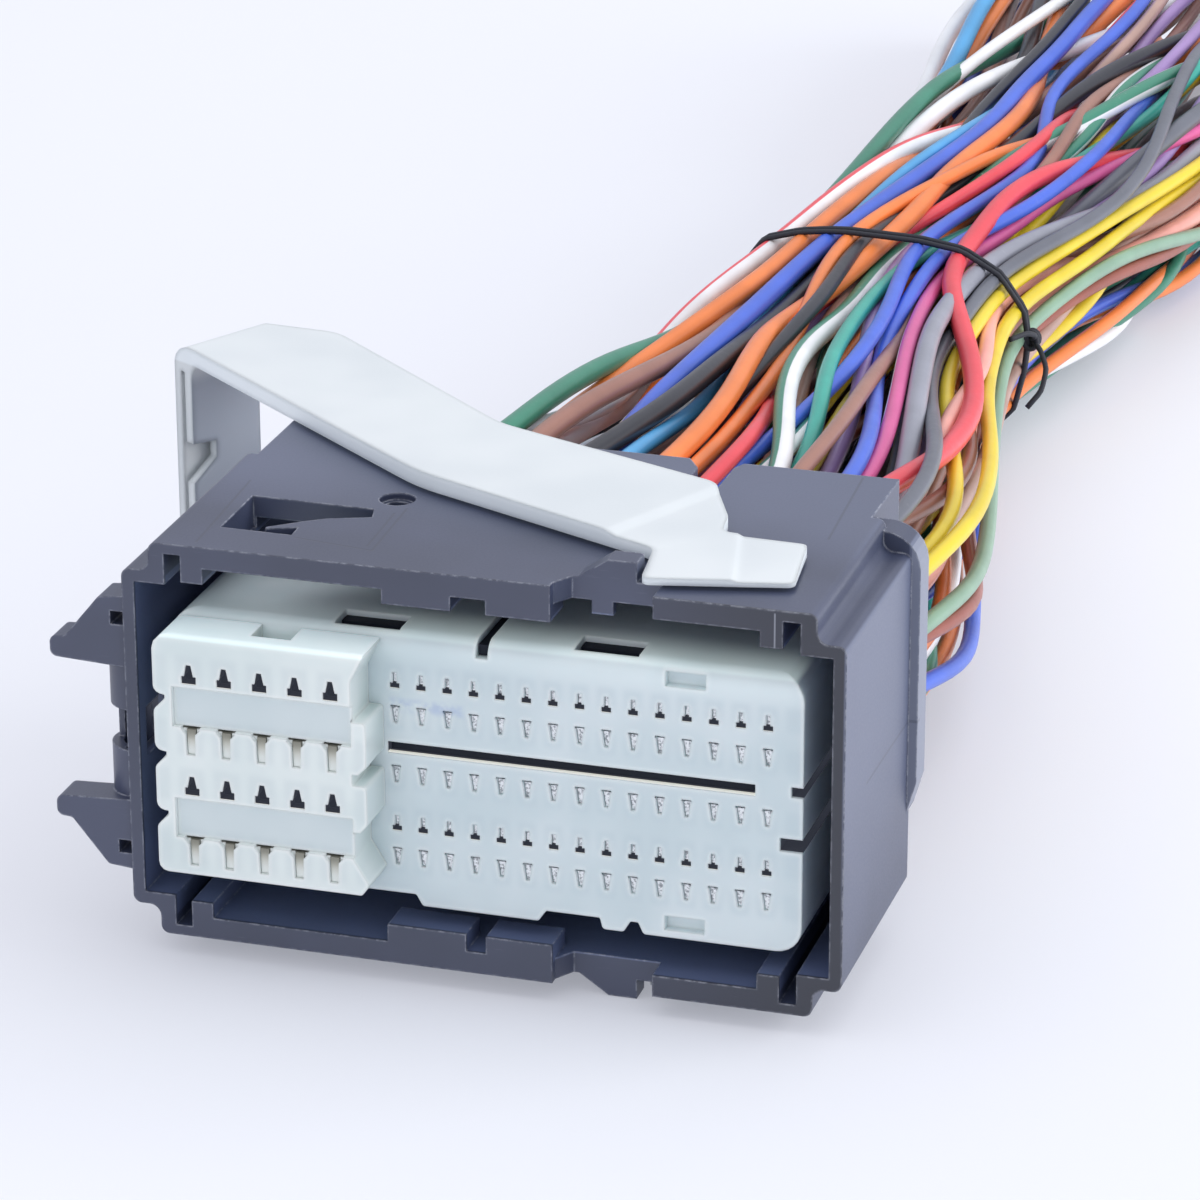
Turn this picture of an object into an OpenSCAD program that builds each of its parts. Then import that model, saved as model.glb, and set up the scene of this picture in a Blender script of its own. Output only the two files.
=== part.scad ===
// Engine control unit connector with its wire pigtail.
// X runs along the mating face, Y from the mating face to the wires, Z up.
// The contact pitches drive the block, and the block drives the housing and the lever.

/* [Contacts] */
// Distance between signal columns
signal_pitch = 2.5; // [2.4:0.05:3]
// Number of signal columns
signal_columns = 15; // [12:1:18]
// Distance between power columns
power_pitch = 3.4; // [3.2:0.1:4.2]
// Number of power columns
power_columns = 5; // [4:1:7]
// Distance between neighbouring signal rows
row_pitch = 4.1; // [4:0.1:5]
// Distance between the signal rows on either side of the long slot
key_row_gap = 5.9; // [5.4:0.1:8]
// Distance between a keyhole row of power contacts and the row below it
power_row_pitch = 6.3; // [5.6:0.1:6.6]
// Distance between the two pairs of power rows
power_pair_gap = 4.7; // [4.4:0.1:5]
// Distance from the last power column to the first signal column
group_gap = 4.4; // [3.6:0.1:8]
// Width of a signal cavity
signal_cavity_w = 1.8; // [1.5:0.05:2]
// Height of a signal cavity
signal_cavity_h = 2.6; // [2:0.1:2.8]
// Width of a power cavity
power_cavity_w = 2.6; // [2:0.1:2.8]
// Height of a power cavity
power_cavity_h = 3.6; // [3:0.1:4]
// Play of a terminal in its cavity, on each side
terminal_play = 0.1; // [0.05:0.05:0.2]

/* [Block] */
// Block left of the first power column
power_margin = 3.5; // [3:0.1:6]
// Block right of the last signal column
signal_margin = 3.3; // [3.2:0.1:6]
// Block below the lowest signal row
low_margin = 4.4; // [4:0.1:7]
// Block above the highest signal row
high_margin = 4.2; // [4:0.1:7]
// How far the block's face stands behind the rim
block_setback = 1.5; // [0:0.1:6]
// Thickness of the block's front wall
front_wall = 1.2; // [0.8:0.1:2]
// How far the power cap stands out in front of the block
cap_proud = 5; // [3:0.5:7]
// Radius of the block's upright corners
block_corner = 2.4; // [1:0.1:3]
// Radius of the block's upper front edge
block_edge = 1.5; // [0.5:0.1:2]
// Radius of the power cap's upper front edge
cap_edge = 0.8; // [0.3:0.1:1.5]
// Depth of the two bands across the power cap's face
band_depth = 0.5; // [0.3:0.05:0.9]
// Depth of the flared mouths of the slots under those bands
flare_depth = 0.45; // [0.3:0.05:0.8]
// How far the terminals' tongues stand behind the block's face
tongue_setback = 0.3; // [0.1:0.05:0.6]
// Length of a signal terminal's box
signal_box_len = 9; // [7:0.5:12]
// Length of a power terminal's box
power_box_len = 13; // [11:0.5:16]
// Length of the crimp barrels
barrel_len = 6; // [4:0.5:7]
// Distance from the block's face to the terminal lock's slot
lock_setback = 7; // [6:0.5:9]
// Width of the terminal lock's slot, from front to back
lock_slot_w = 8; // [6:0.5:9]
// Height of the feet along the block's lower edge
foot_step = 1.1; // [0.5:0.1:1.5]
// Height of the long slot in the block's face
key_slot_h = 1.1; // [0.8:0.1:1.5]
// Depth of that slot, which holds a plate of the terminal lock
key_slot_depth = 12; // [8:0.5:14]
// How far that plate stands behind the block's face
key_plate_setback = 0.8; // [0.4:0.1:2]
// Depth of the windows in the block's upper face
window_depth = 1.6; // [1.2:0.1:1.6]
// Height of the slot under the windows, which holds a bar of the terminal lock
lock_bar_slot_h = 0.6; // [0.5:0.05:0.7]
// Height of the slot that the terminal lock slides in
lock_slot_h = 1.3; // [1:0.1:1.4]
// Play of the terminal lock in its slots
lock_play = 0.1; // [0.05:0.05:0.2]

/* [Housing] */
// Room between the block's sides and the side walls
side_gap = 2.95; // [2.5:0.05:5]
// Room below the block
low_gap = 3.3; // [2.5:0.1:6]
// Room above the block
high_gap = 4.7; // [4.5:0.1:7]
// Thickness of the side walls
side_wall = 1.2; // [0.8:0.1:2]
// Thickness of the upper and lower walls
lip_wall = 2.1; // [1.8:0.1:3]
// Thickness of the wall behind the block
back_wall = 2; // [1.5:0.1:3]
// Depth of the front shroud
shroud_depth = 24.8; // [22:0.2:32]
// Depth of the narrower part behind the shroud
rear_depth = 10.6; // [8:0.2:16]
// How far the stepped corners stand in from the sides
step_x = 2.7; // [2:0.1:4]
// How far the stepped corners stand in from the top and bottom
step_z = 2.8; // [2:0.1:4]
// Width of the keying slot in each corner
corner_slot = 1.6; // [1:0.1:2.5]
// Width of the rib beside each corner slot
corner_rib = 2.1; // [1:0.1:3]
// Extra thickness of the rail at the front of the upper wall
rail_drop = 1.4; // [0.8:0.1:1.8]
// Extra thickness of the rail at the front of the lower wall
low_rail_rise = 1.7; // [0.8:0.1:2]
// Diameter of the hole in the upper wall
top_hole_d = 2.4; // [1:0.1:4]
// Depth of the sunk mouth of that hole
top_hole_sink = 0.7; // [0.3:0.1:1.2]
// How far the ears reach out from the left wall
ear_reach = 7.6; // [5:0.1:10]
// Height of the lever's stop bosses
boss_h = 1.9; // [1:0.1:2.5]

/* [Lever] */
// Thickness of the lever's arms
arm_t = 1.6; // [1.2:0.1:2.5]
// Gap between the arms and the housing
arm_gap = 0.4; // [0.3:0.05:1]
// Width of the arms
arm_w = 14; // [12.5:0.1:16]
// Distance from the pivot to the crossbar
lever_reach = 62; // [58:0.5:70]
// Thickness of the crossbar
bar_t = 2.6; // [2.2:0.1:4]
// Width of the crossbar
bar_w = 8.8; // [7:0.1:12]
// Diameter of the pivot pins
pin_d = 4; // [3:0.1:6]
// Play of the pivot pins, on the diameter
pin_play = 0.2; // [0.1:0.05:0.3]

/* [Wires] */
// Thickness of the tie round the wires
tie_t = 0.6; // [0.4:0.1:1]
// Width of the tie
tie_w = 1.6; // [1:0.1:3]

/* [Hidden] */

$fn = 48;
cut = 1;

// Block and housing sizes, worked out from the contacts
signal_span = (signal_columns - 1) * signal_pitch;
power_span = (power_columns - 1) * power_pitch;
block_w = power_margin + power_span + group_gap + signal_span + signal_margin;
block_h = low_margin + 3 * row_pitch + key_row_gap + high_margin;
housing_w = block_w + 2 * (side_gap + side_wall);
housing_h = block_h + low_gap + high_gap + 2 * lip_wall;
half_w = housing_w / 2;
mid_h = housing_h / 2;
block_z = lip_wall + low_gap;
block_top = block_z + block_h;
block_back = shroud_depth - back_wall;
signal_x = block_w / 2 - signal_margin - signal_span;
power_x = -block_w / 2 + power_margin;
group_split = signal_x - group_gap / 2;
signal_end = signal_x + signal_span;

// Height of each row's middle, from the highest row down
row_5_z = block_z + low_margin;
signal_z = [
  row_5_z + 3 * row_pitch + key_row_gap,
  row_5_z + 2 * row_pitch + key_row_gap,
  row_5_z + 2 * row_pitch,
  row_5_z + row_pitch,
  row_5_z
];
power_z = [
  signal_z[0],
  signal_z[0] - power_row_pitch,
  signal_z[0] - power_row_pitch - power_pair_gap,
  signal_z[0] - 2 * power_row_pitch - power_pair_gap
];
// 1 where the contact sits at the bottom of the cavity, -1 where it sits at the top
signal_side = [1, -1, -1, 1, -1];
power_side = [1, -1, 1, -1];
// Openings of the contacts in the face, and the slots below the power cap's bands
signal_foot = 1.2;
signal_bar = function (row) signal_side[row] > 0 ? [0.9, 0.5] : [0.9, 0.2];
signal_stem = function (row) signal_side[row] > 0 ? [0.4, 0.4, 1] : [0.75, 0.35, 1.5];
power_foot = 1;
power_bar = [1.4, 0.75];
power_stem = [0.9, 0.45, 1.1];
slot_bar = [1.75, 0.2];
slot_stem = [0.95, 0.8, 2.5];
flare_h = 0.45;
signal_mouth = 0.45;
power_mouth = 1.6;
tongue_play = 0.05;
tongue_root = 0.2;
key_slot_z = (signal_z[1] + signal_z[2]) / 2;
lock_z = (signal_z[2] + signal_z[3]) / 2;

// Rear part of the housing, and the block's spigot that seats in it
fit_play = 0.15;
rear_wall = 1.2;
rear_half = block_w / 2 + 0.1;
rear_back = shroud_depth + rear_depth;
spigot_half = rear_half - rear_wall - fit_play;
spigot_inset = 1.2;
spigot_past_wall = 1.6;
spigot_back = shroud_depth + spigot_past_wall;

// Inside of the shroud
corner_wall = 1.5;
slot_cap = 1;
rib_drop = 3.6;
inner_half = half_w - step_x - corner_wall;
rail_len = 4;
rail_left = signal_x - 0.6;
rail_right = signal_x + 6.1 * signal_pitch;
recess_right = rail_right + 9.5;
recess_depth = 2.9;

// Lever: the pivot sits behind the recess, and the lower arm carries the part
pivot = [rail_right + 4.2, 19];
boss_right = recess_right - 2.3;
boss_depth = 2.4;
lift = arm_gap + arm_t;
pin_len = arm_gap + lip_wall - 0.3;
bar_angle = 62;
bar_edge = 2;
bar_fillet = 1.5;
low_arm_front = recess_depth + boss_depth + 0.9;
bar_corner = pivot + lever_reach * [-0.942, 0.461];
bar_along = [cos(bar_angle), sin(bar_angle)];
bar_inward = [sin(bar_angle), -cos(bar_angle)];
bar_back = bar_corner + bar_w * bar_along;
ear_lip_z = mid_h - 7;

// The origin is the middle of the base of everything but the wires
part_left = bar_corner[0];
flange_proud = 0.9;
part_right = half_w + flange_proud;
part_front = block_setback - cap_proud;
part_back = bar_back[1] + 1;
base = [-(part_left + part_right) / 2, -(part_front + part_back) / 2, lift];

// Sections through the wires, as [y, left, right, low, high, gathered]
loom = [
  [36, -27.5, 28, 8, 30, 0],
  [50, -27.5, 31, 6, 31, 0.1],
  [68, -27, 32, 3.5, 30.5, 0.3],
  [90, -25.5, 28, 1, 29, 0.55],
  [120, -22.5, 21, 0, 26.5, 0.85],
  [152, -20.5, 16, -0.5, 25, 1],
  [180, -20.5, 21, -1, 24, 1],
  [210, -21, 26, -1.5, 22.5, 1],
  [250, -22, 30, -1.5, 21.5, 1],
  [290, -23, 33, -1.5, 22, 1],
  [335, -24, 35, -1.5, 22.5, 1]
];
tie_section = 5;
power_share = 0.27;
wire_gap = 0.3;
wire_r = 1.1;

housing_colour = [0.24, 0.26, 0.33];
block_colour = [0.83, 0.9, 0.89];
cap_colour = [0.93, 0.96, 0.96];
lock_colour = [0.2, 0.21, 0.25];
lever_colour = [0.88, 0.9, 0.92];
terminal_colour = [0.75, 0.75, 0.73];

function blend(a, b, t) = a + (b - a) * t;

// Outline through points [x, y, radius] with each corner rounded to its radius
function rounded(points, steps = 6) = [
  for (i = [0 : len(points) - 1])
    let (
      n = len(points),
      before = points[(i + n - 1) % n],
      after = points[(i + 1) % n],
      p = [points[i][0], points[i][1]],
      r = points[i][2],
      a = [before[0], before[1]] - p,
      b = [after[0], after[1]] - p,
      u = a / norm(a),
      v = b / norm(b),
      corner = acos(max(-1, min(1, u * v))),
      centre = p + (u + v) / norm(u + v) * r / sin(corner / 2),
      first = p + u * r / tan(corner / 2) - centre,
      sweep = sign(u[1] * v[0] - u[0] * v[1]) * (180 - corner)
    )
    each r == 0 ? [p] : [
      for (k = [0 : steps])
        let (w = sweep * k / steps)
        centre + [first[0] * cos(w) - first[1] * sin(w), first[0] * sin(w) + first[1] * cos(w)]
    ]
];

module place() {
  translate(base) children();
}

// A section in X and Z, drawn out along Y
module along_y(from, to) {
  translate([0, to, 0]) rotate([90, 0, 0]) linear_extrude(to - from) children();
}

// Both the shape and its mirror image about the housing's middle height
module both_faces() {
  children();
  lower_face() children();
}

module box(low, high) {
  translate(low) cube(high - low);
}

// Section of the shroud: a rectangle with all four corners stepped in
module shroud_outline() {
  edge = 0.8;
  inner = 1.1;
  x = half_w;
  polygon(rounded([
    [-x, step_z, edge], [-x + step_x, step_z, inner], [-x + step_x, 0, edge],
    [x - step_x, 0, edge], [x - step_x, step_z, inner], [x, step_z, edge],
    [x, housing_h - step_z, edge], [x - step_x, housing_h - step_z, inner],
    [x - step_x, housing_h, edge], [-x + step_x, housing_h, edge],
    [-x + step_x, housing_h - step_z, inner], [-x, housing_h - step_z, edge]
  ]));
}

module shroud_hollow() {
  translate([-half_w + side_wall, step_z + side_wall])
    square([housing_w - 2 * side_wall, housing_h - 2 * (step_z + side_wall)]);
  translate([-inner_half, lip_wall])
    square([2 * inner_half, housing_h - 2 * lip_wall]);
  for (side = [-1, 1])
    translate([side * (inner_half - corner_slot / 2) - corner_slot / 2, slot_cap])
      square([corner_slot, housing_h - 2 * slot_cap]);
}

// Ribs that stand beside the corner slots
module corner_ribs() {
  middle = inner_half - corner_slot - corner_rib / 2;
  for (side = [-1, 1])
    for (z = [lip_wall - cut, housing_h - rib_drop])
      translate([side * middle - corner_rib / 2, z])
        square([corner_rib, rib_drop - lip_wall + cut]);
}

// Rail along the front of the upper wall, with its notch
module rail(drop, notch, notch_w) {
  low = housing_h - lip_wall - drop;
  high = housing_h - lip_wall + cut;
  box([rail_left, 0, low], [rail_left + notch, rail_len, high]);
  box([rail_left + notch + notch_w, 0, low], [rail_right, rail_len, high]);
}

// Short rib that hangs behind the cut-away
module recess_rib() {
  x = rail_right + 3;
  box([x, recess_depth, housing_h - lip_wall - 1.3], [x + 2, recess_depth + 1, housing_h - lip_wall + cut]);
}

// What a rounded edge along X takes off, where a front face and a top face meet
module edge_waste(from, to, r) {
  difference() {
    box([from, -cut, -r], [to, r, cut]);
    translate([from - cut, r, -r]) rotate([0, 90, 0]) cylinder(r = r, h = to - from + 2 * cut);
  }
}

module lower_face() {
  translate([0, 0, housing_h]) mirror([0, 0, 1]) children();
}

// Cut-away in the front edge of the upper wall
module front_recess() {
  translate([0, 0, housing_h - lip_wall - cut]) linear_extrude(lip_wall + 2 * cut)
    polygon([
      [rail_right, -cut], [recess_right, -cut], [recess_right, recess_depth],
      [rail_right + 1.2, recess_depth], [rail_right, 1]
    ]);
}

// Ramped boss that stops the lever
module stop_boss() {
  along_y(recess_depth, recess_depth + boss_depth)
    polygon([
      [boss_right - 5.5, housing_h - cut], [boss_right - 5.5, housing_h],
      [boss_right - 2.7, housing_h + boss_h], [boss_right, housing_h + boss_h],
      [boss_right, housing_h - cut]
    ]);
}

// Window in the upper wall, with one slanted side and a finger that reaches into it
module top_window() {
  x = -inner_half + 3;
  translate([0, 0, housing_h - lip_wall - cut]) linear_extrude(lip_wall + 2 * cut)
    polygon([
      [x + 0.5, 5.5], [x + 7.4, 5.4], [x + 7.3, 7.4], [x + 4.5, 6.3], [x + 4.5, 6.7], [x + 7.1, 8.9],
      [x + 9, 10.3], [x + 12.9, 11.8], [x + 12.4, 13.9], [x + 0.4, 14.1]
    ]);
}

// Slit in the back edge of the upper wall
module rear_slit() {
  x = pivot[0];
  translate([0, 0, housing_h - lip_wall - cut]) linear_extrude(lip_wall + 2 * cut)
    polygon([
      [x, rear_back - 7.2], [x + 3.3, rear_back - 7.2], [x + 3.3, rear_back - 1.5],
      [x + 4.3, rear_back + cut], [x - 2, rear_back + cut], [x, rear_back - 2.3]
    ]);
}

// Gusset with a lip on the left wall
module ear() {
  z = ear_lip_z;
  x = -half_w;
  along_y(0.6, 4.1) difference() {
    polygon(rounded([
      [x + side_wall / 2, z - 6.7, 0], [x - 2.6, z - 6.4, 0.5], [x - ear_reach + 1.5, z - 2.1, 0.6],
      [x - ear_reach, z - 2, 0.7], [x - ear_reach, z, 0.7], [x + side_wall / 2, z + 0.4, 0]
    ]));
    translate([x - 1.5, z - 5.1]) square([1.5, 1.3]);
  }
}

// Upright half tube between the ears, open in its middle
module half_tube() {
  z = ear_lip_z + 0.2;
  tube_h = 4.8;
  translate([-half_w, 4.4, 0]) {
    difference() {
      translate([0, 0, z]) cylinder(r = 3.1, h = tube_h);
      translate([0, 0, z - cut]) cylinder(r = 2, h = tube_h + 2 * cut);
      box([side_wall / 2, -4, z - cut], [4, 4, z + tube_h + cut]);
    }
    difference() {
      translate([0, 0, z + tube_h - cut]) cylinder(r = 2.6, h = mid_h - z - tube_h + cut);
      translate([0, 0, z]) cylinder(r = 2, h = mid_h);
      box([-4, -4, z], [4, 0, mid_h + cut]);
      box([side_wall / 2, -4, z], [4, 4, mid_h + cut]);
    }
  }
}

// Round-cornered flange behind the right side wall
module rear_flange() {
  x = half_w + flange_proud;
  along_y(shroud_depth - cut, shroud_depth + 2.2)
    polygon(rounded([
      [rear_half - cut, mid_h - 9.5, 0], [half_w - 0.1, mid_h - 9.5, 0.4], [x, mid_h - 6, 0.8],
      [x, housing_h - 0.8, 3.6], [rear_half - cut, housing_h - 0.8, 0]
    ]));
}

module outer_housing() {
  color(housing_colour) place() difference() {
    union() {
      along_y(0, block_back) {
        difference() {
          shroud_outline();
          shroud_hollow();
        }
        corner_ribs();
      }
      along_y(block_back, shroud_depth) difference() {
        shroud_outline();
        translate([-rear_half + rear_wall, block_z + spigot_inset - fit_play])
          square([2 * (rear_half - rear_wall), block_h - 2 * (spigot_inset - fit_play)]);
      }
      along_y(shroud_depth, rear_back) difference() {
        translate([-rear_half, 0]) square([2 * rear_half, housing_h]);
        translate([-rear_half + rear_wall, lip_wall])
          square([2 * (rear_half - rear_wall), housing_h - 2 * lip_wall]);
      }
      rail(rail_drop, 6.5, 3.3);
      lower_face() rail(low_rail_rise, 7.6, 1.9);
      recess_rib();
      both_faces() {
        stop_boss();
        ear();
        half_tube();
      }
      rear_flange();
    }
    both_faces() {
      front_recess();
      translate([pivot[0], pivot[1], housing_h - lip_wall - cut])
        cylinder(d = pin_d + pin_play, h = lip_wall + 2 * cut);
    }
    top_window();
    rear_slit();
    translate([-inner_half + 16.6, 17, housing_h]) {
      translate([0, 0, -lip_wall - cut]) cylinder(d = top_hole_d, h = lip_wall + 2 * cut);
      translate([0, 0, -top_hole_sink]) cylinder(d = top_hole_d + 1, h = top_hole_sink + cut);
    }
    box([-half_w - cut, 1.8, mid_h - 2.4], [-half_w + side_wall + cut, 6.2, mid_h + 2.4]);
  }
}

// Plan of one arm: a hook and tab beside the pivot, then an S bend to the crossbar
module arm_plan() {
  p = pivot;
  bar_inner = bar_corner + bar_t * bar_inward;
  bar_end = bar_corner + (bar_w + 0.7) * bar_along - 1.2 * bar_inward;
  bend = p + [-23.3, 0.6];
  arm_end = bar_inner + arm_w * [0.87, 0.66];
  outer_bend = bend + arm_w * [0.24, 1.06];
  polygon(rounded([
    [boss_right + 1.35, -1.5, 0.8],
    [boss_right + 0.2, p[1] - 11.6, 2.5],
    [bend[0], bend[1], 20],
    [bar_inner[0], bar_inner[1], 0.5],
    [bar_corner[0], bar_corner[1], 0.8],
    [bar_end[0], bar_end[1], 3],
    [arm_end[0], arm_end[1], 5],
    [outer_bend[0], outer_bend[1], 12],
    [p[0] + 4.2, p[1] + 5.6, 3],
    [p[0] + 7.4, p[1] - 1.8, 1.5],
    [p[0] + 7.9, p[1] - 5.7, 1.2],
    [p[0] + 16, p[1] - 6.1, 0.8],
    [p[0] + 17.6, 1.6, 0.8]
  ]));
}

// Step down along a crease in the arm: from the raised part to the flat part
module arm_step(from, angle, drop) {
  slope = 1.4;
  far = 30;
  translate([from[0], from[1], housing_h + arm_gap + arm_t])
    rotate([0, 0, angle]) along_y(-far, far)
      polygon([[0, 0], [slope, -drop], [far, -drop], [far, cut], [0, cut]]);
}

module lever() {
  color(lever_colour) place() difference() {
    union() {
      both_faces() {
        translate([pivot[0], pivot[1], housing_h + arm_gap - pin_len])
          cylinder(d = pin_d, h = pin_len + arm_t / 2);
      }
      translate([0, 0, housing_h + arm_gap]) linear_extrude(arm_t) arm_plan();
      translate([0, 0, -arm_gap - arm_t]) linear_extrude(arm_t) intersection() {
        arm_plan();
        translate([part_left, low_arm_front]) square([2 * lever_reach, lever_reach]);
      }
      translate([bar_corner[0], bar_corner[1], -arm_gap - arm_t / 2]) rotate([0, 0, bar_angle])
        translate([0, -bar_t, 0]) cube([bar_w, bar_t, housing_h + 2 * arm_gap + arm_t]);
      both_faces() translate([bar_corner[0], bar_corner[1], housing_h + arm_gap])
        rotate([0, 0, bar_angle]) translate([0, -bar_t, 0])
          rotate([0, 0, 180]) edge_waste(-bar_w, 0, bar_fillet);
    }
    arm_step(pivot + [1.5, -1], -25, 0.35);
    arm_step(pivot + [9, -8], 12, 0.6);
    both_faces() translate([bar_corner[0], bar_corner[1], housing_h + arm_gap + arm_t])
      rotate([0, 0, bar_angle + 180]) edge_waste(-2 * bar_w, bar_w, bar_edge);
    translate([bar_corner[0], bar_corner[1], 0]) rotate([0, 0, bar_angle]) {
      box([-cut, -1.5, 0.6], [5.5, -1, housing_h - 0.6]);
      both_faces() translate([0, -1.2, 0]) rotate([90, 0, 0]) linear_extrude(bar_t)
        polygon([
          [-cut, ear_lip_z - 4.6], [3, ear_lip_z - 4.2], [3, ear_lip_z - 2.4], [-cut, ear_lip_z + 0.4]
        ]);
    }
  }
}

// Opening of one contact: a bar [width, height] and a stem [width at the bar, width at the tip,
// height], which points up or down
module contact_bar(side, bar) {
  translate([-bar[0] / 2, min(0, side * bar[1])]) square(bar);
}

module contact_stem(side, bar, stem, inset) {
  polygon([
    [-stem[0] / 2 + inset, side * (bar[1] + inset)], [stem[0] / 2 - inset, side * (bar[1] + inset)],
    [stem[1] / 2 - inset, side * (bar[1] + stem[2] - inset)],
    [-stem[1] / 2 + inset, side * (bar[1] + stem[2] - inset)]
  ]);
}

module contact_opening(side, bar, stem) {
  contact_bar(side, bar);
  contact_stem(side, bar, stem, 0);
}

module at_signal_contacts(row) {
  for (column = [0 : signal_columns - 1])
    translate([signal_x + column * signal_pitch, signal_z[row] - signal_foot * signal_side[row]])
      children();
}

module signal_openings() {
  for (row = [0 : 4]) at_signal_contacts(row)
    contact_opening(signal_side[row], signal_bar(row), signal_stem(row));
}

module at_power_contacts(row) {
  for (column = [0 : power_columns - 1])
    translate([power_x + column * power_pitch, power_z[row] - power_foot * power_side[row]]) children();
}

module power_openings() {
  for (row = [0, 2]) at_power_contacts(row) contact_opening(1, power_bar, power_stem);
  for (row = [1, 3]) at_power_contacts(row) contact_opening(-1, slot_bar, slot_stem);
}

// Flared mouth of a slot below a band of the power cap
module slot_flare() {
  top = -slot_bar[1];
  half_bar = slot_bar[0] / 2;
  half_stem = slot_stem[0] / 2;
  along_y(-cut, flare_depth) polygon([
    [-half_bar, top + slot_bar[1] / 2], [half_bar, top + slot_bar[1] / 2], [half_bar, top],
    [half_stem, top - flare_h], [-half_stem, top - flare_h], [-half_bar, top]
  ]);
}

module cavities(x, columns, pitch, rows, w, h) {
  for (z = rows, column = [0 : columns - 1])
    translate([x + column * pitch - w / 2, z - h / 2]) square([w, h]);
}

module signal_cavities() {
  cavities(signal_x, signal_columns, signal_pitch, signal_z, signal_cavity_w, signal_cavity_h);
}

module power_cavities() {
  cavities(power_x, power_columns, power_pitch, power_z, power_cavity_w, power_cavity_h);
}

// Face of the block, with feet and a notch along its lower edge
module block_outline() {
  x = block_w / 2;
  at = function (column) signal_x + column * signal_pitch;
  low = block_z;
  high = block_z + foot_step;
  polygon(rounded([
    [-x, high, block_corner], [at(0.7), high, 0.2], [at(0.95), low, 0.4], [at(5.4), low, 0.4],
    [at(5.7), high, 0.2], [at(7.75), high, 0.2], [at(7.85), low, 0.4], [at(8.65), low, 0.4],
    [at(8.9), high, 0.2], [at(9.2), high, 0.2], [at(9.4), low, 0.4], [x, low, block_corner],
    [x, block_top, block_corner], [-x, block_top, block_corner]
  ]));
}

// Windows and slit in the block's upper face, in signal columns, and the lock's parts in them
windows = [[-2.4, 0.1], [6.7, 9.1]];
window_floor = block_top - window_depth;
window_front = 1;
window_back = 4.2;
slit = [3.1, 3.55];
slit_len = 9;
blade_setback = 0.7;
lock_tab_t = 1.4;
lock_tab_drop = 0.5;

// Windows, slit and pockets along the upper and lower edges of the block's face
module block_cuts() {
  at = function (column) signal_x + column * signal_pitch;
  front = block_setback;
  for (w = windows)
    box([at(w[0]), front + window_front, window_floor], [at(w[1]), front + window_back, block_top + cut]);
  box([at(slit[0]), front - cut, window_floor], [at(slit[1]), front + slit_len, block_top + cut]);
  box([at(windows[0][0]), front + window_front, window_floor - lock_bar_slot_h],
      [at(windows[1][1]), front + window_back, window_floor]);
  for (z = [block_z + 0.7, block_top - 2.2])
    box([at(10.2), front - cut, z], [at(11.7), front + front_wall - 0.3, z + 1.4]);
  box([at(-0.3), front - cut, key_slot_z - key_slot_h / 2],
      [at(signal_columns - 1.45), front + key_slot_depth, key_slot_z + key_slot_h / 2]);
  box([block_w / 2 - 1.1, front - cut, key_slot_z - 0.3],
      [block_w / 2 + cut, block_back - 1, key_slot_z + 0.7]);
  box([block_w / 2 - 2.1, front - cut, lock_z - lock_slot_h / 2],
      [block_w / 2 + cut, block_back - 1, lock_z + lock_slot_h / 2]);
  box([at(-0.5), front + lock_setback, lock_z - lock_slot_h / 2],
      [block_w / 2 + cut, front + lock_setback + lock_slot_w, lock_z + lock_slot_h / 2]);
  translate([0, front, block_top]) edge_waste(-block_w / 2 - cut, block_w / 2 + cut, block_edge);
}

module contact_block() {
  front = block_setback;
  color(block_colour) place() difference() {
    union() {
      along_y(front, front + front_wall) difference() {
        block_outline();
        signal_openings();
        power_cavities();
      }
      along_y(front + front_wall, block_back) difference() {
        block_outline();
        signal_cavities();
        power_cavities();
      }
      along_y(block_back, spigot_back) difference() {
        translate([-spigot_half, block_z + spigot_inset])
          square([2 * spigot_half, block_h - 2 * spigot_inset]);
        signal_cavities();
        power_cavities();
      }
    }
    block_cuts();
  }
}

// Face of the power cap: four bars, notched at the left and stepped at the right
module cap_outline() {
  left = -block_w / 2;
  right = power_x + power_span + 1.9;
  tab = right + 2.8;
  notch = function (z) [[left + 1.1, z + 0.1, 0], [left + 1.1, z - 0.3, 0.1], [left, z - 1.4, 0.8]];
  z = power_z;
  polygon(rounded([
    [left, z[3] - 2.6, 0.9], [right + 0.8, z[3] - 2.6, 0.4], [right + 1.5, z[3] - 1.5, 0.3],
    [right, z[3] + 0.9, 0.3], [right, z[2] - 2.7, 0.2], [right + 1.4, z[2] - 2.7, 0.3],
    [tab, z[2] - 1.9, 0.4], [tab, z[2] + 1.9, 0.5], [right, z[2] + 1.9, 0.2],
    [right, z[1] - 1.7, 0.2], [right + 1.2, z[1] - 1.7, 0.3], [tab, z[1] - 0.9, 0.4],
    [tab, z[1] + 3.4, 0.5], [right, z[1] + 3.4, 0.2], [right, z[0] + 1, 0.3],
    [tab - 0.2, block_top - 0.6, 0.2], [left, block_top - 0.6, 1.4],
    [left, z[0] - 2.1, 0.8], each notch(z[0] - 2.4),
    [left, z[1] - 1.5, 0.8], each notch(z[1] - 1.7),
    [left, z[2] - 2.7, 0.8], each notch(z[2] - 2.9)
  ], 3));
}

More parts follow.
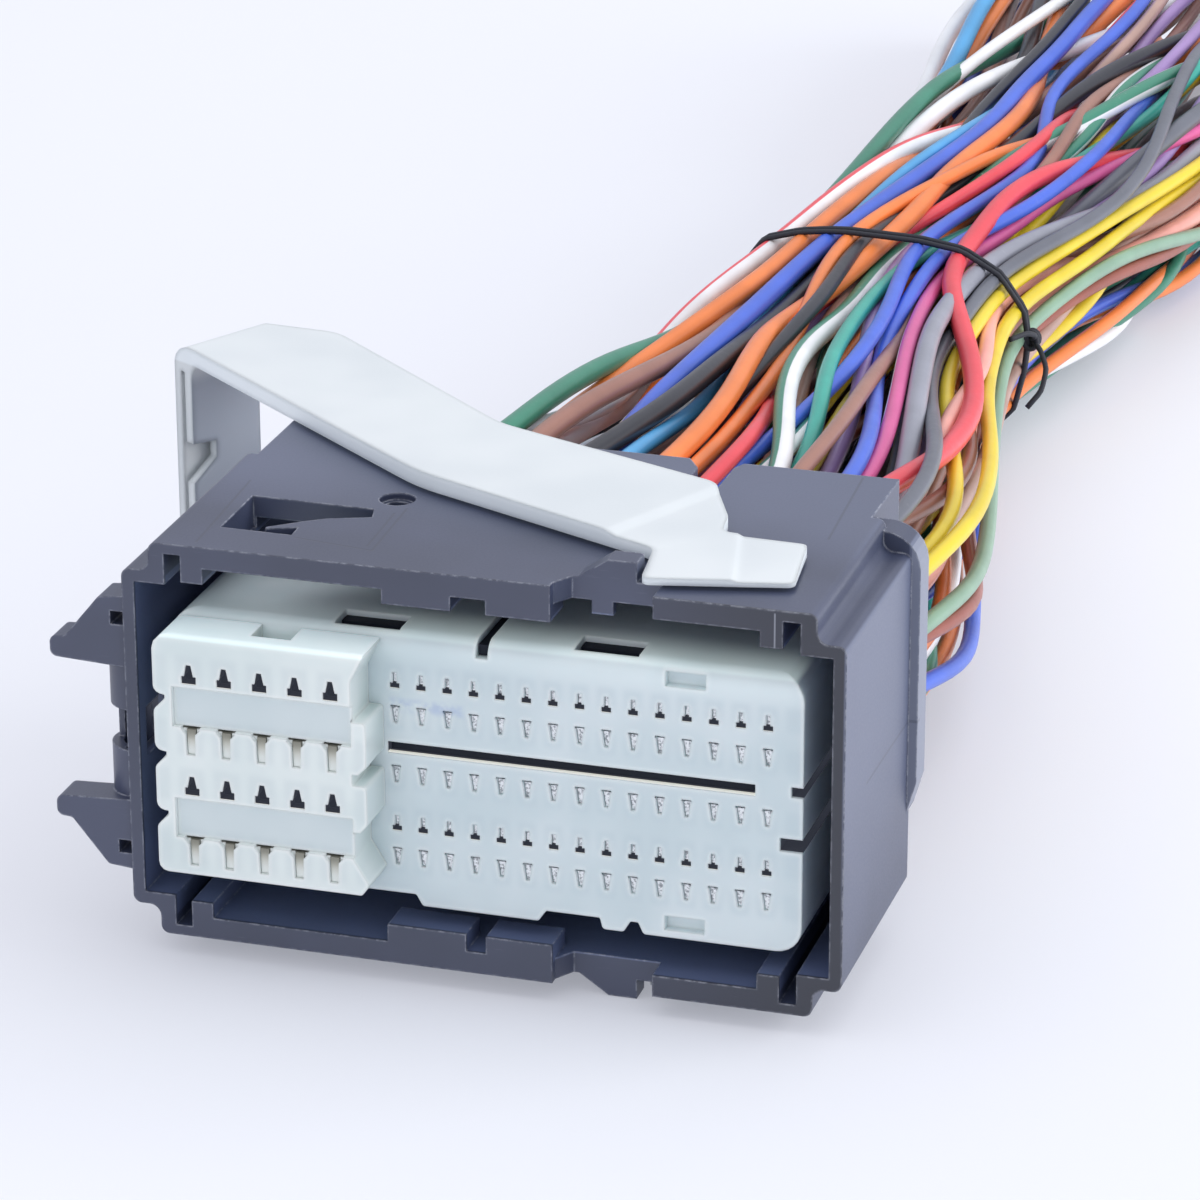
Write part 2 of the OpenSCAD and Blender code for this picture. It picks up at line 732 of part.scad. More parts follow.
module power_cap() {
  front = block_setback - cap_proud;
  color(cap_colour) place() difference() {
    union() {
      along_y(front, front + front_wall) difference() {
        cap_outline();
        power_openings();
      }
      along_y(front + front_wall, block_setback) difference() {
        cap_outline();
        power_cavities();
      }
    }
    box([power_x + 5.4, front + 2, power_z[0] + power_cavity_h / 2 + 0.5],
        [power_x + 9.2, block_setback + cut, block_top]);
    for (pair = [0, 2])
      box([-block_w / 2 + 1.8, front - cut, power_z[pair + 1] + 1],
          [power_x + power_span + 1.9, front + band_depth, power_z[pair] - 1.4]);
    for (row = [1, 3], column = [0 : power_columns - 1])
      translate([power_x + column * power_pitch, front, power_z[row] + power_foot]) slot_flare();
    translate([0, front, block_top - 0.6]) edge_waste(-block_w / 2 - cut, signal_x, cap_edge);
  }
}

// Comb that slides in between the third and fourth signal rows
module lock_comb() {
  lock_h = lock_slot_h - 2 * lock_play;
  front = block_setback + lock_setback + lock_play;
  back = block_setback + lock_setback + lock_slot_w - lock_play;
  left = signal_x - 0.5 * signal_pitch + lock_play;
  translate([0, 0, lock_z - lock_h / 2]) linear_extrude(lock_h) difference() {
    translate([left, front]) square([block_w / 2 - 2.1 - left, back - front]);
    for (column = [0 : signal_columns - 1])
      translate([signal_x + column * signal_pitch - 0.6, front - cut]) square([1.2, 4]);
  }
}

// Plate that fills the long slot in the face
module lock_plate() {
  at = function (column) signal_x + column * signal_pitch;
  half_h = key_slot_h / 2 - lock_play;
  box([at(-0.3) + lock_play, block_setback + key_plate_setback, key_slot_z - half_h],
      [at(signal_columns - 1.45) - lock_play, block_setback + key_slot_depth - lock_play,
       key_slot_z + half_h]);
}

// Bar under the windows, with a tab in each window and a blade in the slit
module lock_bar() {
  at = function (column) signal_x + column * signal_pitch;
  front = block_setback;
  low = window_floor - lock_bar_slot_h + lock_play;
  high = block_top - lock_tab_drop;
  back = front + window_back - lock_play;
  box([at(windows[0][0]) + lock_play, front + window_front + lock_play, low],
      [at(windows[1][1]) - lock_play, back, window_floor - lock_play]);
  for (w = windows)
    box([at(w[0]) + lock_play, back - lock_tab_t, low], [at(w[1]) - lock_play, back, high]);
  box([at(slit[0]) + lock_play, front + window_front + lock_play, low],
      [at(slit[1]) - lock_play, back, high]);
  box([at(slit[0]) + lock_play, front + blade_setback, window_floor + lock_play],
      [at(slit[1]) - lock_play, front + slit_len - lock_play, high]);
}

module terminal_lock() {
  color(lock_colour) place() {
    lock_comb();
    lock_plate();
    lock_bar();
  }
}

// One row of terminals: a box with a mouth for the pin, and a crimp barrel behind it. The mouth is
// as high as mouth, on the side that the contact sits
module terminals(x, columns, pitch, z, w, h, side, front, box_len, mouth) {
  for (column = [0 : columns - 1])
    translate([x + column * pitch, front, z]) {
      difference() {
        box([-w / 2, 0, -h / 2], [w / 2, box_len, h / 2]);
        translate([0, 0, -side * (h - mouth) / 2 + side * 0.2])
          box([-w / 2 + 0.25, -cut, -mouth / 2], [w / 2 - 0.25, box_len - 1.5, mouth / 2]);
      }
      translate([0, box_len, 0]) rotate([-90, 0, 0]) cylinder(d = w - 0.1, h = barrel_len);
    }
}

module signal_terminals(row) {
  front = block_setback + front_wall + terminal_play;
  color(terminal_colour) place() {
    terminals(signal_x, signal_columns, signal_pitch, signal_z[row],
              signal_cavity_w - 2 * terminal_play, signal_cavity_h - 2 * terminal_play,
              signal_side[row], front, signal_box_len, signal_mouth);
    along_y(block_setback + tongue_setback, front + tongue_root) at_signal_contacts(row)
      contact_stem(signal_side[row], signal_bar(row), signal_stem(row), tongue_play);
  }
}

module power_terminals(row) {
  cap_face = block_setback - cap_proud;
  front = cap_face + front_wall + terminal_play;
  color(terminal_colour) place() {
    terminals(power_x, power_columns, power_pitch, power_z[row],
              power_cavity_w - 2 * terminal_play, power_cavity_h - 2 * terminal_play,
              power_side[row], front, power_box_len, power_mouth);
    if (power_side[row] < 0)
      along_y(cap_face + tongue_setback, front + tongue_root) at_power_contacts(row)
        contact_stem(-1, slot_bar, slot_stem, tongue_play);
  }
}

// One bundle of wires, swept through its sections [left, right, low, high] at each y
module bundle(sections, ys) {
  corner = 0.32;
  ring = [for (s = sections)
    let (c = corner * min(s[1] - s[0], s[3] - s[2]))
    [[s[0] + c, s[2]], [s[1] - c, s[2]], [s[1], s[2] + c], [s[1], s[3] - c],
     [s[1] - c, s[3]], [s[0] + c, s[3]], [s[0], s[3] - c], [s[0], s[2] + c]]];
  sides = 8;
  last = len(ys) - 1;
  polyhedron(
    points = [for (i = [0 : last], p = ring[i]) [p[0], ys[i], p[1]]],
    faces = [
      [for (k = [0 : sides - 1]) sides - 1 - k],
      for (i = [0 : last - 1], k = [0 : sides - 1])
        let (a = i * sides + k, b = i * sides + (k + 1) % sides)
        each [[a, b, a + sides], [b, b + sides, a + sides]],
      [for (k = [0 : sides - 1]) last * sides + k]
    ]
  );
}

loom_y = [spigot_back, each [for (s = loom) s[0]]];
function split_at(s) = blend(group_split, blend(s[1], s[2], power_share), s[5]);

module signal_wires(row) {
  layer = 2 - row;
  narrow = sqrt(1 - pow(layer / 3, 2));
  sections = [
    [signal_x - wire_r, signal_end + wire_r, signal_z[row] - wire_r, signal_z[row] + wire_r],
    for (s = loom)
      let (
        left = split_at(s) + wire_gap / 2,
        middle = (left + s[2]) / 2,
        half = (s[2] - left) / 2 * blend(1, narrow, s[5]),
        thick = (s[4] - s[3]) / 5,
        z = blend(signal_z[row], (s[3] + s[4]) / 2 + layer * thick, s[5]),
        half_t = blend(wire_r, thick / 2 - wire_gap / 2, s[5])
      )
      [middle - half, middle + half, z - half_t, z + half_t]
  ];
  color("slategray") place() bundle(sections, loom_y);
}

module power_wires() {
  low = power_z[3] - 1.4;
  high = power_z[0] + 1.4;
  sections = [
    [power_x - 1.3, power_x + power_span + 1.3, low, high],
    for (s = loom)
      [s[1], split_at(s) - wire_gap / 2,
       blend(low, blend(s[3], s[4], 0.06), s[5]), blend(high, blend(s[3], s[4], 0.9), s[5])]
  ];
  color("peru") place() bundle(sections, loom_y);
}

// Ring round the gathered wires
module tie_ring(grow) {
  s = loom[tie_section];
  a = (s[2] - s[1]) / 2 + grow;
  b = (s[4] - s[3]) / 2 + grow;
  middle = [(s[1] + s[2]) / 2, (s[3] + s[4]) / 2];
  polygon(rounded([
    [middle[0] - a, middle[1] - b, 5], [middle[0] + a, middle[1] - b, 7],
    [middle[0] + a, middle[1] + b, 7], [middle[0] - a, middle[1] + b, 6]
  ]));
}

module wire_tie() {
  y = loom[tie_section][0];
  color("black") place() along_y(y - tie_w / 2, y + tie_w / 2) difference() {
    tie_ring(wire_gap + tie_t);
    tie_ring(wire_gap);
  }
}

outer_housing();
lever();
contact_block();
power_cap();
terminal_lock();
signal_terminals(0);  // signal_terminals_row_1
signal_terminals(1);  // signal_terminals_row_2
signal_terminals(2);  // signal_terminals_row_3
signal_terminals(3);  // signal_terminals_row_4
signal_terminals(4);  // signal_terminals_row_5
power_terminals(0);  // power_terminals_row_1
power_terminals(1);  // power_terminals_row_2
power_terminals(2);  // power_terminals_row_3
power_terminals(3);  // power_terminals_row_4
signal_wires(0);  // signal_wires_row_1
signal_wires(1);  // signal_wires_row_2
signal_wires(2);  // signal_wires_row_3
signal_wires(3);  // signal_wires_row_4
signal_wires(4);  // signal_wires_row_5
power_wires();
wire_tie();
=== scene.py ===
"""Visual model of an engine control unit connector with its lever and its pigtail of wires.

Lengths are millimetres from the middle of the housing's rim: X to the right, Y back along the
wires and Z up from the housing's underside. place() turns them into the frame's metres.
"""
import math

import bpy
import numpy as np
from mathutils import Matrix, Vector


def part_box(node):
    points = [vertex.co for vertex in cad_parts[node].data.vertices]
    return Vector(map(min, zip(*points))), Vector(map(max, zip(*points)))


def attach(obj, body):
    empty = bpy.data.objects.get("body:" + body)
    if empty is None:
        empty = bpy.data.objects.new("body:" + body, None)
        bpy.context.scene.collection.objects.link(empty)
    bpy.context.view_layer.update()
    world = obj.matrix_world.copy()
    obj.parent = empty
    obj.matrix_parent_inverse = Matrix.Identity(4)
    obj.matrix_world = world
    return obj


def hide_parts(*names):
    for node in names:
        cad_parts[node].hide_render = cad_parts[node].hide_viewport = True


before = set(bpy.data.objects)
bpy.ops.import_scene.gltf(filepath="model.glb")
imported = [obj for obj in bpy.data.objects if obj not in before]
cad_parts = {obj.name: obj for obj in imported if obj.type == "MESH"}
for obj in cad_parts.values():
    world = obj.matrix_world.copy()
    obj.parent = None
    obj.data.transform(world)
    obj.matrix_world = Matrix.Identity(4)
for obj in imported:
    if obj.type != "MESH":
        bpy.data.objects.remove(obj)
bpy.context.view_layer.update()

MM = 0.001
# Height of the block's underside over the housing's
BLOCK_FOOT = 5.4

housing_low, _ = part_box("outer_housing")
block_low, block_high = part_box("contact_block")
RIM = np.array([(block_low[0] + block_high[0]) / 2, housing_low[1], block_low[2] - BLOCK_FOOT * MM])


def place(points):
    """Metres in the frame from millimetres off the housing's rim."""
    return np.asarray(points, float) * MM + RIM


def blend(a, b, share):
    """The value that lies a share of the way from a to b."""
    return a + (b - a) * share


def ease(share):
    """Smooth step from 0 to 1."""
    share = np.clip(share, 0, 1)
    return share * share * (3 - 2 * share)


def add_object(name, data):
    """A new object in the scene."""
    piece = bpy.data.objects.new(name, data)
    bpy.context.collection.objects.link(piece)
    return piece


# Camera

CAMERA_SPOT = (133.14, -397.99, 202.44)
CAMERA_DOWN_DEG = 21.54
CAMERA_TURN_DEG = 16.94
CAMERA_ROLL_DEG = 0.135
LENS_MM = 151.96
SENSOR_MM = 36.0
CLIP_START_M = 0.01


def make_camera():
    """The camera of the photograph, as fitted to its landmarks."""
    data = bpy.data.cameras.new("studio_camera")
    data.lens = LENS_MM
    data.sensor_width = SENSOR_MM
    data.clip_start = CLIP_START_M
    camera = add_object("studio_camera", data)
    camera.location = place(CAMERA_SPOT)
    camera.rotation_euler = [math.radians(angle) for angle in
                             (90 - CAMERA_DOWN_DEG, CAMERA_ROLL_DEG, CAMERA_TURN_DEG)]
    bpy.context.scene.camera = camera


make_camera()


# Materials: values and node trees

BEVEL_SAMPLES = 4
# Turn of the normal at which an edge starts to show, and shows fully
EDGE_TURN = (0.01, 0.2)
# Upward part of the normal at which a face starts to count as a top, and counts fully
UPWARD = (0.4, 0.8)
# Values of the noise between which one of a plastic's two shades goes over into the other
CLOUD_STEP = (0.3, 0.7)


class Value:
    """A socket of a material's nodes. Arithmetic on it adds Math nodes."""

    def __init__(self, finish, socket):
        self.finish = finish
        self.socket = socket

    def maths(self, operation, *others):
        """A Math node whose first input is this value."""
        inputs = dict(enumerate((self,) + others))
        return self.finish.node("ShaderNodeMath", {"operation": operation}, inputs)

    def flipped(self, operation, other):
        """A Math node whose second input is this value."""
        return self.finish.node("ShaderNodeMath", {"operation": operation}, {0: other, 1: self})

    def __add__(self, other):
        return self.maths("ADD", other)

    def __sub__(self, other):
        return self.maths("SUBTRACT", other)

    def __mul__(self, other):
        return self.maths("MULTIPLY", other)

    def __truediv__(self, other):
        return self.maths("DIVIDE", other)

    def __rsub__(self, other):
        return self.flipped("SUBTRACT", other)

    def __rtruediv__(self, other):
        return self.flipped("DIVIDE", other)

    __radd__ = __add__
    __rmul__ = __mul__

    def __abs__(self):
        return self.maths("ABSOLUTE")

    def either(self, other):
        """The larger one of two values."""
        return self.maths("MAXIMUM", other)

    def step(self, low, high):
        """0 below low, 1 above high, smooth between."""
        settings = {"interpolation_type": "SMOOTHSTEP"}
        return self.finish.node("ShaderNodeMapRange", settings, {0: self, 1: low, 2: high})


class Finish:
    """One procedural material, built round the Principled shader."""

    def __init__(self, name, **constants):
        self.material = bpy.data.materials.new(name)
        self.material.use_nodes = True
        self.tree = self.material.node_tree
        self.shader = self.tree.nodes["Principled BSDF"]
        for socket, value in constants.items():
            self.shader.inputs[socket.replace("_", " ").title().replace("Ior", "IOR")].default_value = value

    def node(self, kind, settings, inputs, output=0):
        """A new node: its settings first, then its sockets' values or links."""
        node = self.tree.nodes.new(kind)
        for name, value in settings.items():
            setattr(node, name, value)
        for key, value in inputs.items():
            if isinstance(value, Value):
                self.tree.links.new(value.socket, node.inputs[key])
            else:
                node.inputs[key].default_value = value
        return Value(self, node.outputs[output])

    def place_on_surface(self):
        """The piece's own coordinates, in millimetres off the housing's rim."""
        spot = self.node("ShaderNodeTexCoord", {}, {}, "Object")
        off_rim = self.node("ShaderNodeVectorMath", {"operation": "SUBTRACT"}, {0: spot, 1: tuple(RIM)})
        return self.node("ShaderNodeVectorMath", {"operation": "SCALE"}, {0: off_rim, "Scale": 1 / MM})

    def noise(self, size, detail=3.0, rough=0.5, spot=None):
        """Cloudy noise from 0 to 1 whose blobs are about size millimetres across."""
        spot = spot or self.place_on_surface()
        inputs = {"Vector": spot, "Scale": 1 / size, "Detail": detail, "Roughness": rough}
        return self.node("ShaderNodeTexNoise", {}, inputs)

    def coordinate(self, axis, spot=None):
        """One part of a vector, or of the place on the surface."""
        return self.node("ShaderNodeSeparateXYZ", {}, {0: spot or self.place_on_surface()}, axis)

    def inside(self, low, high, fade=0.1):
        """1 in the box between two corners and 0 outside it."""
        spot = self.place_on_surface()
        share = 1.0
        for axis, start, end in zip("XYZ", low, high):
            along = self.coordinate(axis, spot)
            share = share * along.step(start, start + fade) * (1 - along.step(end - fade, end))
        return share

    def mix(self, share, first, second):
        """A colour between two colours."""
        return self.node("ShaderNodeMix", {"data_type": "RGBA"}, {0: share, 6: first, 7: second}, 2)

    def round_normal(self, radius):
        """The normal as if the edges were rounded."""
        return self.node("ShaderNodeBevel", {"samples": BEVEL_SAMPLES}, {"Radius": radius * MM})

    def edge(self, radius):
        """1 on the edges, 0 on the flats."""
        flat = self.node("ShaderNodeNewGeometry", {}, {}, "Normal")
        normals = {0: flat, 1: self.round_normal(radius)}
        turn = self.node("ShaderNodeVectorMath", {"operation": "DOT_PRODUCT"}, normals, "Value")
        return (1 - turn).step(*EDGE_TURN)

    def upward(self):
        """1 on the faces that look up, 0 on the others."""
        normal = self.node("ShaderNodeNewGeometry", {}, {}, "Normal")
        return self.coordinate("Z", normal).step(*UPWARD)

    def bump(self, height, strength, depth, normal=None):
        """The normal of a surface with relief of some depth in millimetres."""
        inputs = {"Height": height, "Strength": strength, "Distance": depth * MM}
        if normal:
            inputs["Normal"] = normal
        return self.node("ShaderNodeBump", {}, inputs)

    def feed(self, **links):
        """Links what varies to the shader's sockets."""
        for socket, value in links.items():
            self.tree.links.new(value.socket, self.shader.inputs[socket.replace("_", " ").title()])
        return self.material

    def surface(self, shade, grain, roughness, relief, glow=None, edge_radius=0.0):
        """Links a colour and a glow, with a roughness and a relief that follow one grain."""
        low, gain = roughness
        rounded = self.round_normal(edge_radius) if edge_radius else None
        glows = {"emission_color": glow} if glow else {}
        return self.feed(base_color=shade, roughness=low + grain * gain,
                         normal=self.bump(grain, *relief, rounded), **glows)


def colour(code):
    """Linear colour from a screen colour's six hex digits."""
    parts = [int(code[i:i + 2], 16) / 255 for i in (0, 2, 4)]
    return tuple(p / 12.92 if p <= 0.04045 else ((p + 0.055) / 1.055) ** 2.4 for p in parts) + (1.0,)


# Wires: the loom's outline as in the part's source, and one sleeve for each cavity

SIGNAL_X = -8.4
SIGNAL_PITCH = 2.5
SIGNAL_Z = (28.0, 23.9, 18.0, 13.9, 9.8)
POWER_X = -26.4
POWER_PITCH = 3.4
POWER_Z = (28.0, 21.7, 17.0, 10.7)
SIGNAL_D = 1.75
STOUT_D = 2.3
POWER_D = 2.3
CAVITY_D = 1.6
CRIMP_Y = 18.0
EXIT_Y = 26.4
TIE_Y = 152.0
END_Y = 335.0
# Length of bare core at a wire's end
STRIPPED = 4.0

# Distance behind the rim; left, right, lowest and highest point of the loom; how far it is gathered
LOOM = np.array([
    (26.4, -27.6, 27.7, 8.7, 29.3, 0.0),
    (36.0, -27.5, 28.0, 8.0, 30.0, 0.0),
    (50.0, -27.5, 31.0, 6.0, 31.0, 0.1),
    (68.0, -27.0, 32.0, 3.5, 30.5, 0.3),
    (90.0, -25.5, 28.0, 1.0, 29.0, 0.55),
    (120.0, -22.5, 21.0, 0.0, 26.5, 0.85),
    (152.0, -20.5, 16.0, -0.5, 25.0, 1.0),
    (180.0, -20.5, 21.0, -1.0, 24.0, 1.0),
    (210.0, -21.0, 26.0, -1.5, 22.5, 1.0),
    (250.0, -22.0, 30.0, -1.5, 21.5, 1.0),
    (290.0, -23.0, 33.0, -1.5, 22.0, 1.0),
    (335.0, -24.0, 35.0, -1.5, 22.5, 1.0),
])

SLICES = np.array([18, 22, 26.4, 29, 32, 36, 40, 45, 51, 58, 66, 75, 85, 96, 108, 120, 131, 142, 152, 162,
                   173, 186, 200, 215, 231, 248, 266, 285, 302, 319, 335], float)
# The first slices lie in the cavities, where the wires stay straight
HELD_SLICES = 3
# Rings of a wire's mesh, the first of them in its cavity
RINGS = 84
CAVITY_RINGS = (CRIMP_Y, 20.5, 23.0)
SIDES = 12

SLEEVES = {
    "green": "3b856d", "teal": "3aa898", "orange": "f08543", "brown": "9d7062", "tan": "b9968a",
    "black": "2c2e36", "blue": "4769d4", "navy": "2f50ad", "lightblue": "52a6de", "white": "f1f2f5",
    "red": "e84a55", "yellow": "e4cb33", "grey": "9496a2", "slate": "666973", "pink": "d65c98",
    "salmon": "f2ab9d", "sage": "8aab94", "violet": "a386bd", "rust": "9c5546",
}
POWER_SLEEVES = (
    "white/red green orange brown black",
    "white lightblue white orange tan",
    "black orange navy white brown",
    "blue white black brown red",
)
SIGNAL_SLEEVES = (
    "blue lightblue orange black orange red blue teal white/green brown blue pink/white grey slate red",
    "white violet black orange yellow white/green tan yellow violet brown slate violet salmon yellow yellow",
    "brown pink green blue white black rust brown orange green brown salmon tan rust sage",
    "black white orange violet brown teal grey slate white navy yellow green orange white blue",
    "red brown white green black orange blue grey tan pink black white green teal orange/red",
)
STOUT_SLEEVES = ((0, 0), (0, 2), (0, 8), (0, 12), (0, 14), (1, 2), (1, 10), (2, 3), (2, 11), (3, 6), (4, 5))

# How wires change places on their way to the tie: crowding to the outside, and spread of their turn
TIE_CROWD = 0.5
TIE_TURN = 0.3
# From this share of the outline on, over this share, wires keep more of their turn
OUTER_FROM = 0.7
OUTER_FADE = 0.3
OUTER_HOLD = 0.6
# The same from the tie to their ends: mean and spread of the turn, spread of the reach, squareness
END_CROWD = 0.3
END_TURN = (-0.2, 0.5)
END_REACH = 0.1
END_SQUARE = 0.75
# How far a wire wanders off its line, as wavelength and size
WANDER = ((60.0, 0.3), (90.0, 0.8), (150.0, 2.2))
# Lengths over which wires come loose past the housing and off the tie, and what is loose at the tie
EXIT_FREE = 30
TIE_FREE = 35
TIE_LOOSE = 0.3
# Settling: rounds and hold of the first run, then rounds of the finer run and of the smoothing
SETTLE_ROUNDS = 160
SETTLE_HOLD = 0.12
FINE_ROUNDS = 12
SMOOTH_ROUNDS = 12
SPACING = 1.05
PUSH = 0.8
EVENING = 0.35
TINY = 1e-6
# Squareness of the outline at the housing, at the tie and at the ends (2 is an oval), and its last change
OUTLINE_POWER = (8.0, 2.6, 6.0)
OUTLINE_CHANGE = 60

draw = np.random.default_rng(41)


def loom_at(y):
    """Lowest and highest corner of the loom in X and Z, and how far it is gathered, at every y."""
    left, right, bottom, top, gather = (np.interp(y, LOOM[:, 0], column) for column in LOOM.T[1:])
    return np.stack([left, bottom], axis=1), np.stack([right, top], axis=1), gather


def list_wires():
    """Every wire's name, cavity place, diameter and sleeve."""
    wires = []
    for row, sleeves in enumerate(POWER_SLEEVES):
        for column, sleeve in enumerate(sleeves.split()):
            name = f"power_wire_{row + 1}_{column + 1}"
            wires.append((name, POWER_X + POWER_PITCH * column, POWER_Z[row], POWER_D, sleeve))
    for row, sleeves in enumerate(SIGNAL_SLEEVES):
        for column, sleeve in enumerate(sleeves.split()):
            name = f"signal_wire_{row + 1}_{column + 1}"
            thick = STOUT_D if (row, column) in STOUT_SLEEVES else SIGNAL_D
            wires.append((name, SIGNAL_X + SIGNAL_PITCH * column, SIGNAL_Z[row], thick, sleeve))
    return wires


def loom_guides(start, y):
    """Where each wire would like to run: its own place in the loom's outline, with some wander."""
    count = len(start)
    low, high, gather = loom_at(y)
    leave = HELD_SLICES - 1
    flat = 2 * (start - low[leave]) / (high[leave] - low[leave]) - 1
    disc = flat * np.sqrt(1 - flat[:, ::-1] ** 2 / 2)
    reach = np.linalg.norm(disc, axis=1)
    turn = np.arctan2(disc[:, 1], disc[:, 0])
    reach_tied = reach ** TIE_CROWD
    outer = ease((reach - OUTER_FROM) / OUTER_FADE)
    turn_tied = turn + draw.normal(0, TIE_TURN, count) * (1 - OUTER_HOLD * outer)
    turn_end = turn_tied + draw.normal(*END_TURN, count)
    reach_end = np.clip(reach ** END_CROWD + draw.normal(0, END_REACH, count), 0, 1)

    to_end = ease((y - TIE_Y) / (END_Y - TIE_Y))
    turns = blend(turn_tied[:, None], turn_end[:, None], to_end)
    reaches = blend(reach_tied[:, None], reach_end[:, None], to_end)
    round_spot = np.stack([reaches * np.cos(turns), reaches * np.sin(turns)], axis=2)
    corner = 1 / np.maximum(abs(np.cos(turns)), abs(np.sin(turns)))
    round_spot *= blend(1.0, corner, END_SQUARE * to_end)[:, :, None]
    spot = blend(flat[:, None, :], round_spot, gather[None, :, None])
    guides = (low + high) / 2 + spot * ((high - low) / 2)

    off_tie = ease(abs(y - TIE_Y) / TIE_FREE)
    loose = ease((y - EXIT_Y) / EXIT_FREE) * (TIE_LOOSE + (1 - TIE_LOOSE) * off_tie)
    for wave, swing in WANDER:
        phase = draw.uniform(0, 2 * math.pi, (count, 1, 2))
        size = draw.normal(0, swing, (count, 1, 2))
        guides += size * np.sin(2 * math.pi * y[None, :, None] / wave + phase) * loose[None, :, None]
    return guides


def keep_apart(spots, near):
    """Pushes wires that overlap in a slice away from each other."""
    for k in range(HELD_SLICES, spots.shape[1]):
        gap = spots[:, None, k] - spots[None, :, k]
        far = np.sqrt((gap ** 2).sum(axis=2)) + TINY
        push = np.clip(near - far, 0, None) / far
        np.fill_diagonal(push, 0)
        spots[:, k] += 0.5 * (gap * push[:, :, None]).sum(axis=1) * PUSH


def keep_inside(spots, radius, y):
    """Pulls wires that leave the loom's outline back into it."""
    low, high, gather = loom_at(y)
    middle = (low + high) / 2
    at_housing, at_tie, at_end = OUTLINE_POWER
    power = blend(blend(at_housing, at_tie, gather), at_end, ease((y - TIE_Y) / OUTLINE_CHANGE))[None, :]
    share = abs(spots - middle) / ((high - low) / 2 - radius[:, None, None])
    out = ((share ** power[:, :, None]).sum(axis=2)) ** (1 / power)
    pull = np.where(out > 1, 1 / np.maximum(out, TINY), 1.0)
    pull[:, :HELD_SLICES] = 1
    spots[:] = middle + (spots - middle) * pull[:, :, None]


def relax(spots, guides, radius, y, rounds, hold):
    """Settles the wires beside each other, smooth along their length."""
    near = (radius[:, None] + radius[None, :]) * SPACING
    before = (y[1:-1] - y[:-2]) / (y[2:] - y[:-2])
    for turn in range(rounds):
        spots[:, HELD_SLICES:] += hold * (1 - turn / rounds) * (guides - spots)[:, HELD_SLICES:]
        bend = spots - guides
        even = blend(bend[:, :-2], bend[:, 2:], before[None, :, None])
        spots[:, HELD_SLICES:-1] += EVENING * (even - bend[:, 1:-1])[:, HELD_SLICES - 1:]
        keep_apart(spots, near)
        keep_inside(spots, radius, y)


def curve_through(spots, y, fine_y):
    """Smooth curve through each wire's slices, at finer steps."""
    slope = np.gradient(spots, y, axis=1)
    k = np.clip(np.searchsorted(y, fine_y, side="right") - 1, 0, len(y) - 2)
    span = y[k + 1] - y[k]
    t = ((fine_y - y[k]) / span)[None, :, None]
    span = span[None, :, None]
    a, b = spots[:, k], spots[:, k + 1]
    m, n = slope[:, k] * span, slope[:, k + 1] * span
    return ((2 * t ** 3 - 3 * t ** 2 + 1) * a + (t ** 3 - 2 * t ** 2 + t) * m
            + (3 * t ** 2 - 2 * t ** 3) * b + (t ** 3 - t ** 2) * n)


def smoothed(path):
    """The inner points of a path, each moved towards the middle of its neighbours."""
    return 0.25 * path[..., :-2, :] + 0.5 * path[..., 1:-1, :] + 0.25 * path[..., 2:, :]


def lay_wires(wires):
    """Middle line of every wire, from its crimp to its end."""
    start = np.array([wire[1:3] for wire in wires])
    radius = np.array([wire[3] / 2 for wire in wires])
    guides = loom_guides(start, SLICES)
    guides[:, :HELD_SLICES] = start[:, None, :]
    spots = guides.copy()
    relax(spots, guides, radius, SLICES, SETTLE_ROUNDS, SETTLE_HOLD)
    held = len(CAVITY_RINGS)
    fine_y = np.concatenate([CAVITY_RINGS, np.linspace(EXIT_Y, END_Y, RINGS - held)])
    fine = curve_through(spots, SLICES, fine_y)
    relax(fine, fine.copy(), radius, fine_y, FINE_ROUNDS, hold=0.0)
    for _ in range(SMOOTH_ROUNDS):
        fine[:, held + 1:-1] = smoothed(fine[:, held:])
    return np.stack([fine[:, :, 0], np.broadcast_to(fine_y, fine.shape[:2]), fine[:, :, 1]], axis=2)


def add_mesh(name, points, faces, materials, smooth=True):
    """A mesh object from points in millimetres."""
    mesh = bpy.data.meshes.new(name)
    mesh.from_pydata([tuple(point) for point in place(points)], [], faces)
    mesh.polygons.foreach_set("use_smooth", [smooth] * len(faces))
    for material in materials:
        mesh.materials.append(material)
    return add_object(name, mesh)


def full_turn(count):
    """Even angles round a circle."""
    return np.linspace(0, 2 * math.pi, count, endpoint=False)


def end_faces(count, sides):
    """The faces that close both ends of a tube with so many points."""
    return [tuple(range(sides - 1, -1, -1)), tuple(range(count - sides, count))]


def wall_faces(rings, sides, gaps):
    """Faces between rings that follow each other, back to the first where gaps are as many as rings."""
    faces = []
    for ring in range(gaps):
        here, there = ring * sides, (ring + 1) % rings * sides
        for k in range(sides):
            beside = (k + 1) % sides
            faces.append((here + k, here + beside, there + beside, there + k))
    return faces


def tube(path, radii, sides, twist=0.0):
    """Points and faces of a round tube, ring by ring along a path that never stands upright."""
    along = np.gradient(path, axis=0)
    along /= np.linalg.norm(along, axis=1)[:, None]
    side = np.cross(along, (0, 0, 1.0))
    side /= np.linalg.norm(side, axis=1)[:, None]
    up = np.cross(side, along)
    angle = full_turn(sides)[None, :] + np.linspace(0, twist, len(path))[:, None]
    rings = (path[:, None] + np.asarray(radii)[:, None, None]
             * (np.cos(angle)[..., None] * side[:, None] + np.sin(angle)[..., None] * up[:, None]))
    return rings.reshape(-1, 3), wall_faces(len(path), sides, len(path) - 1)


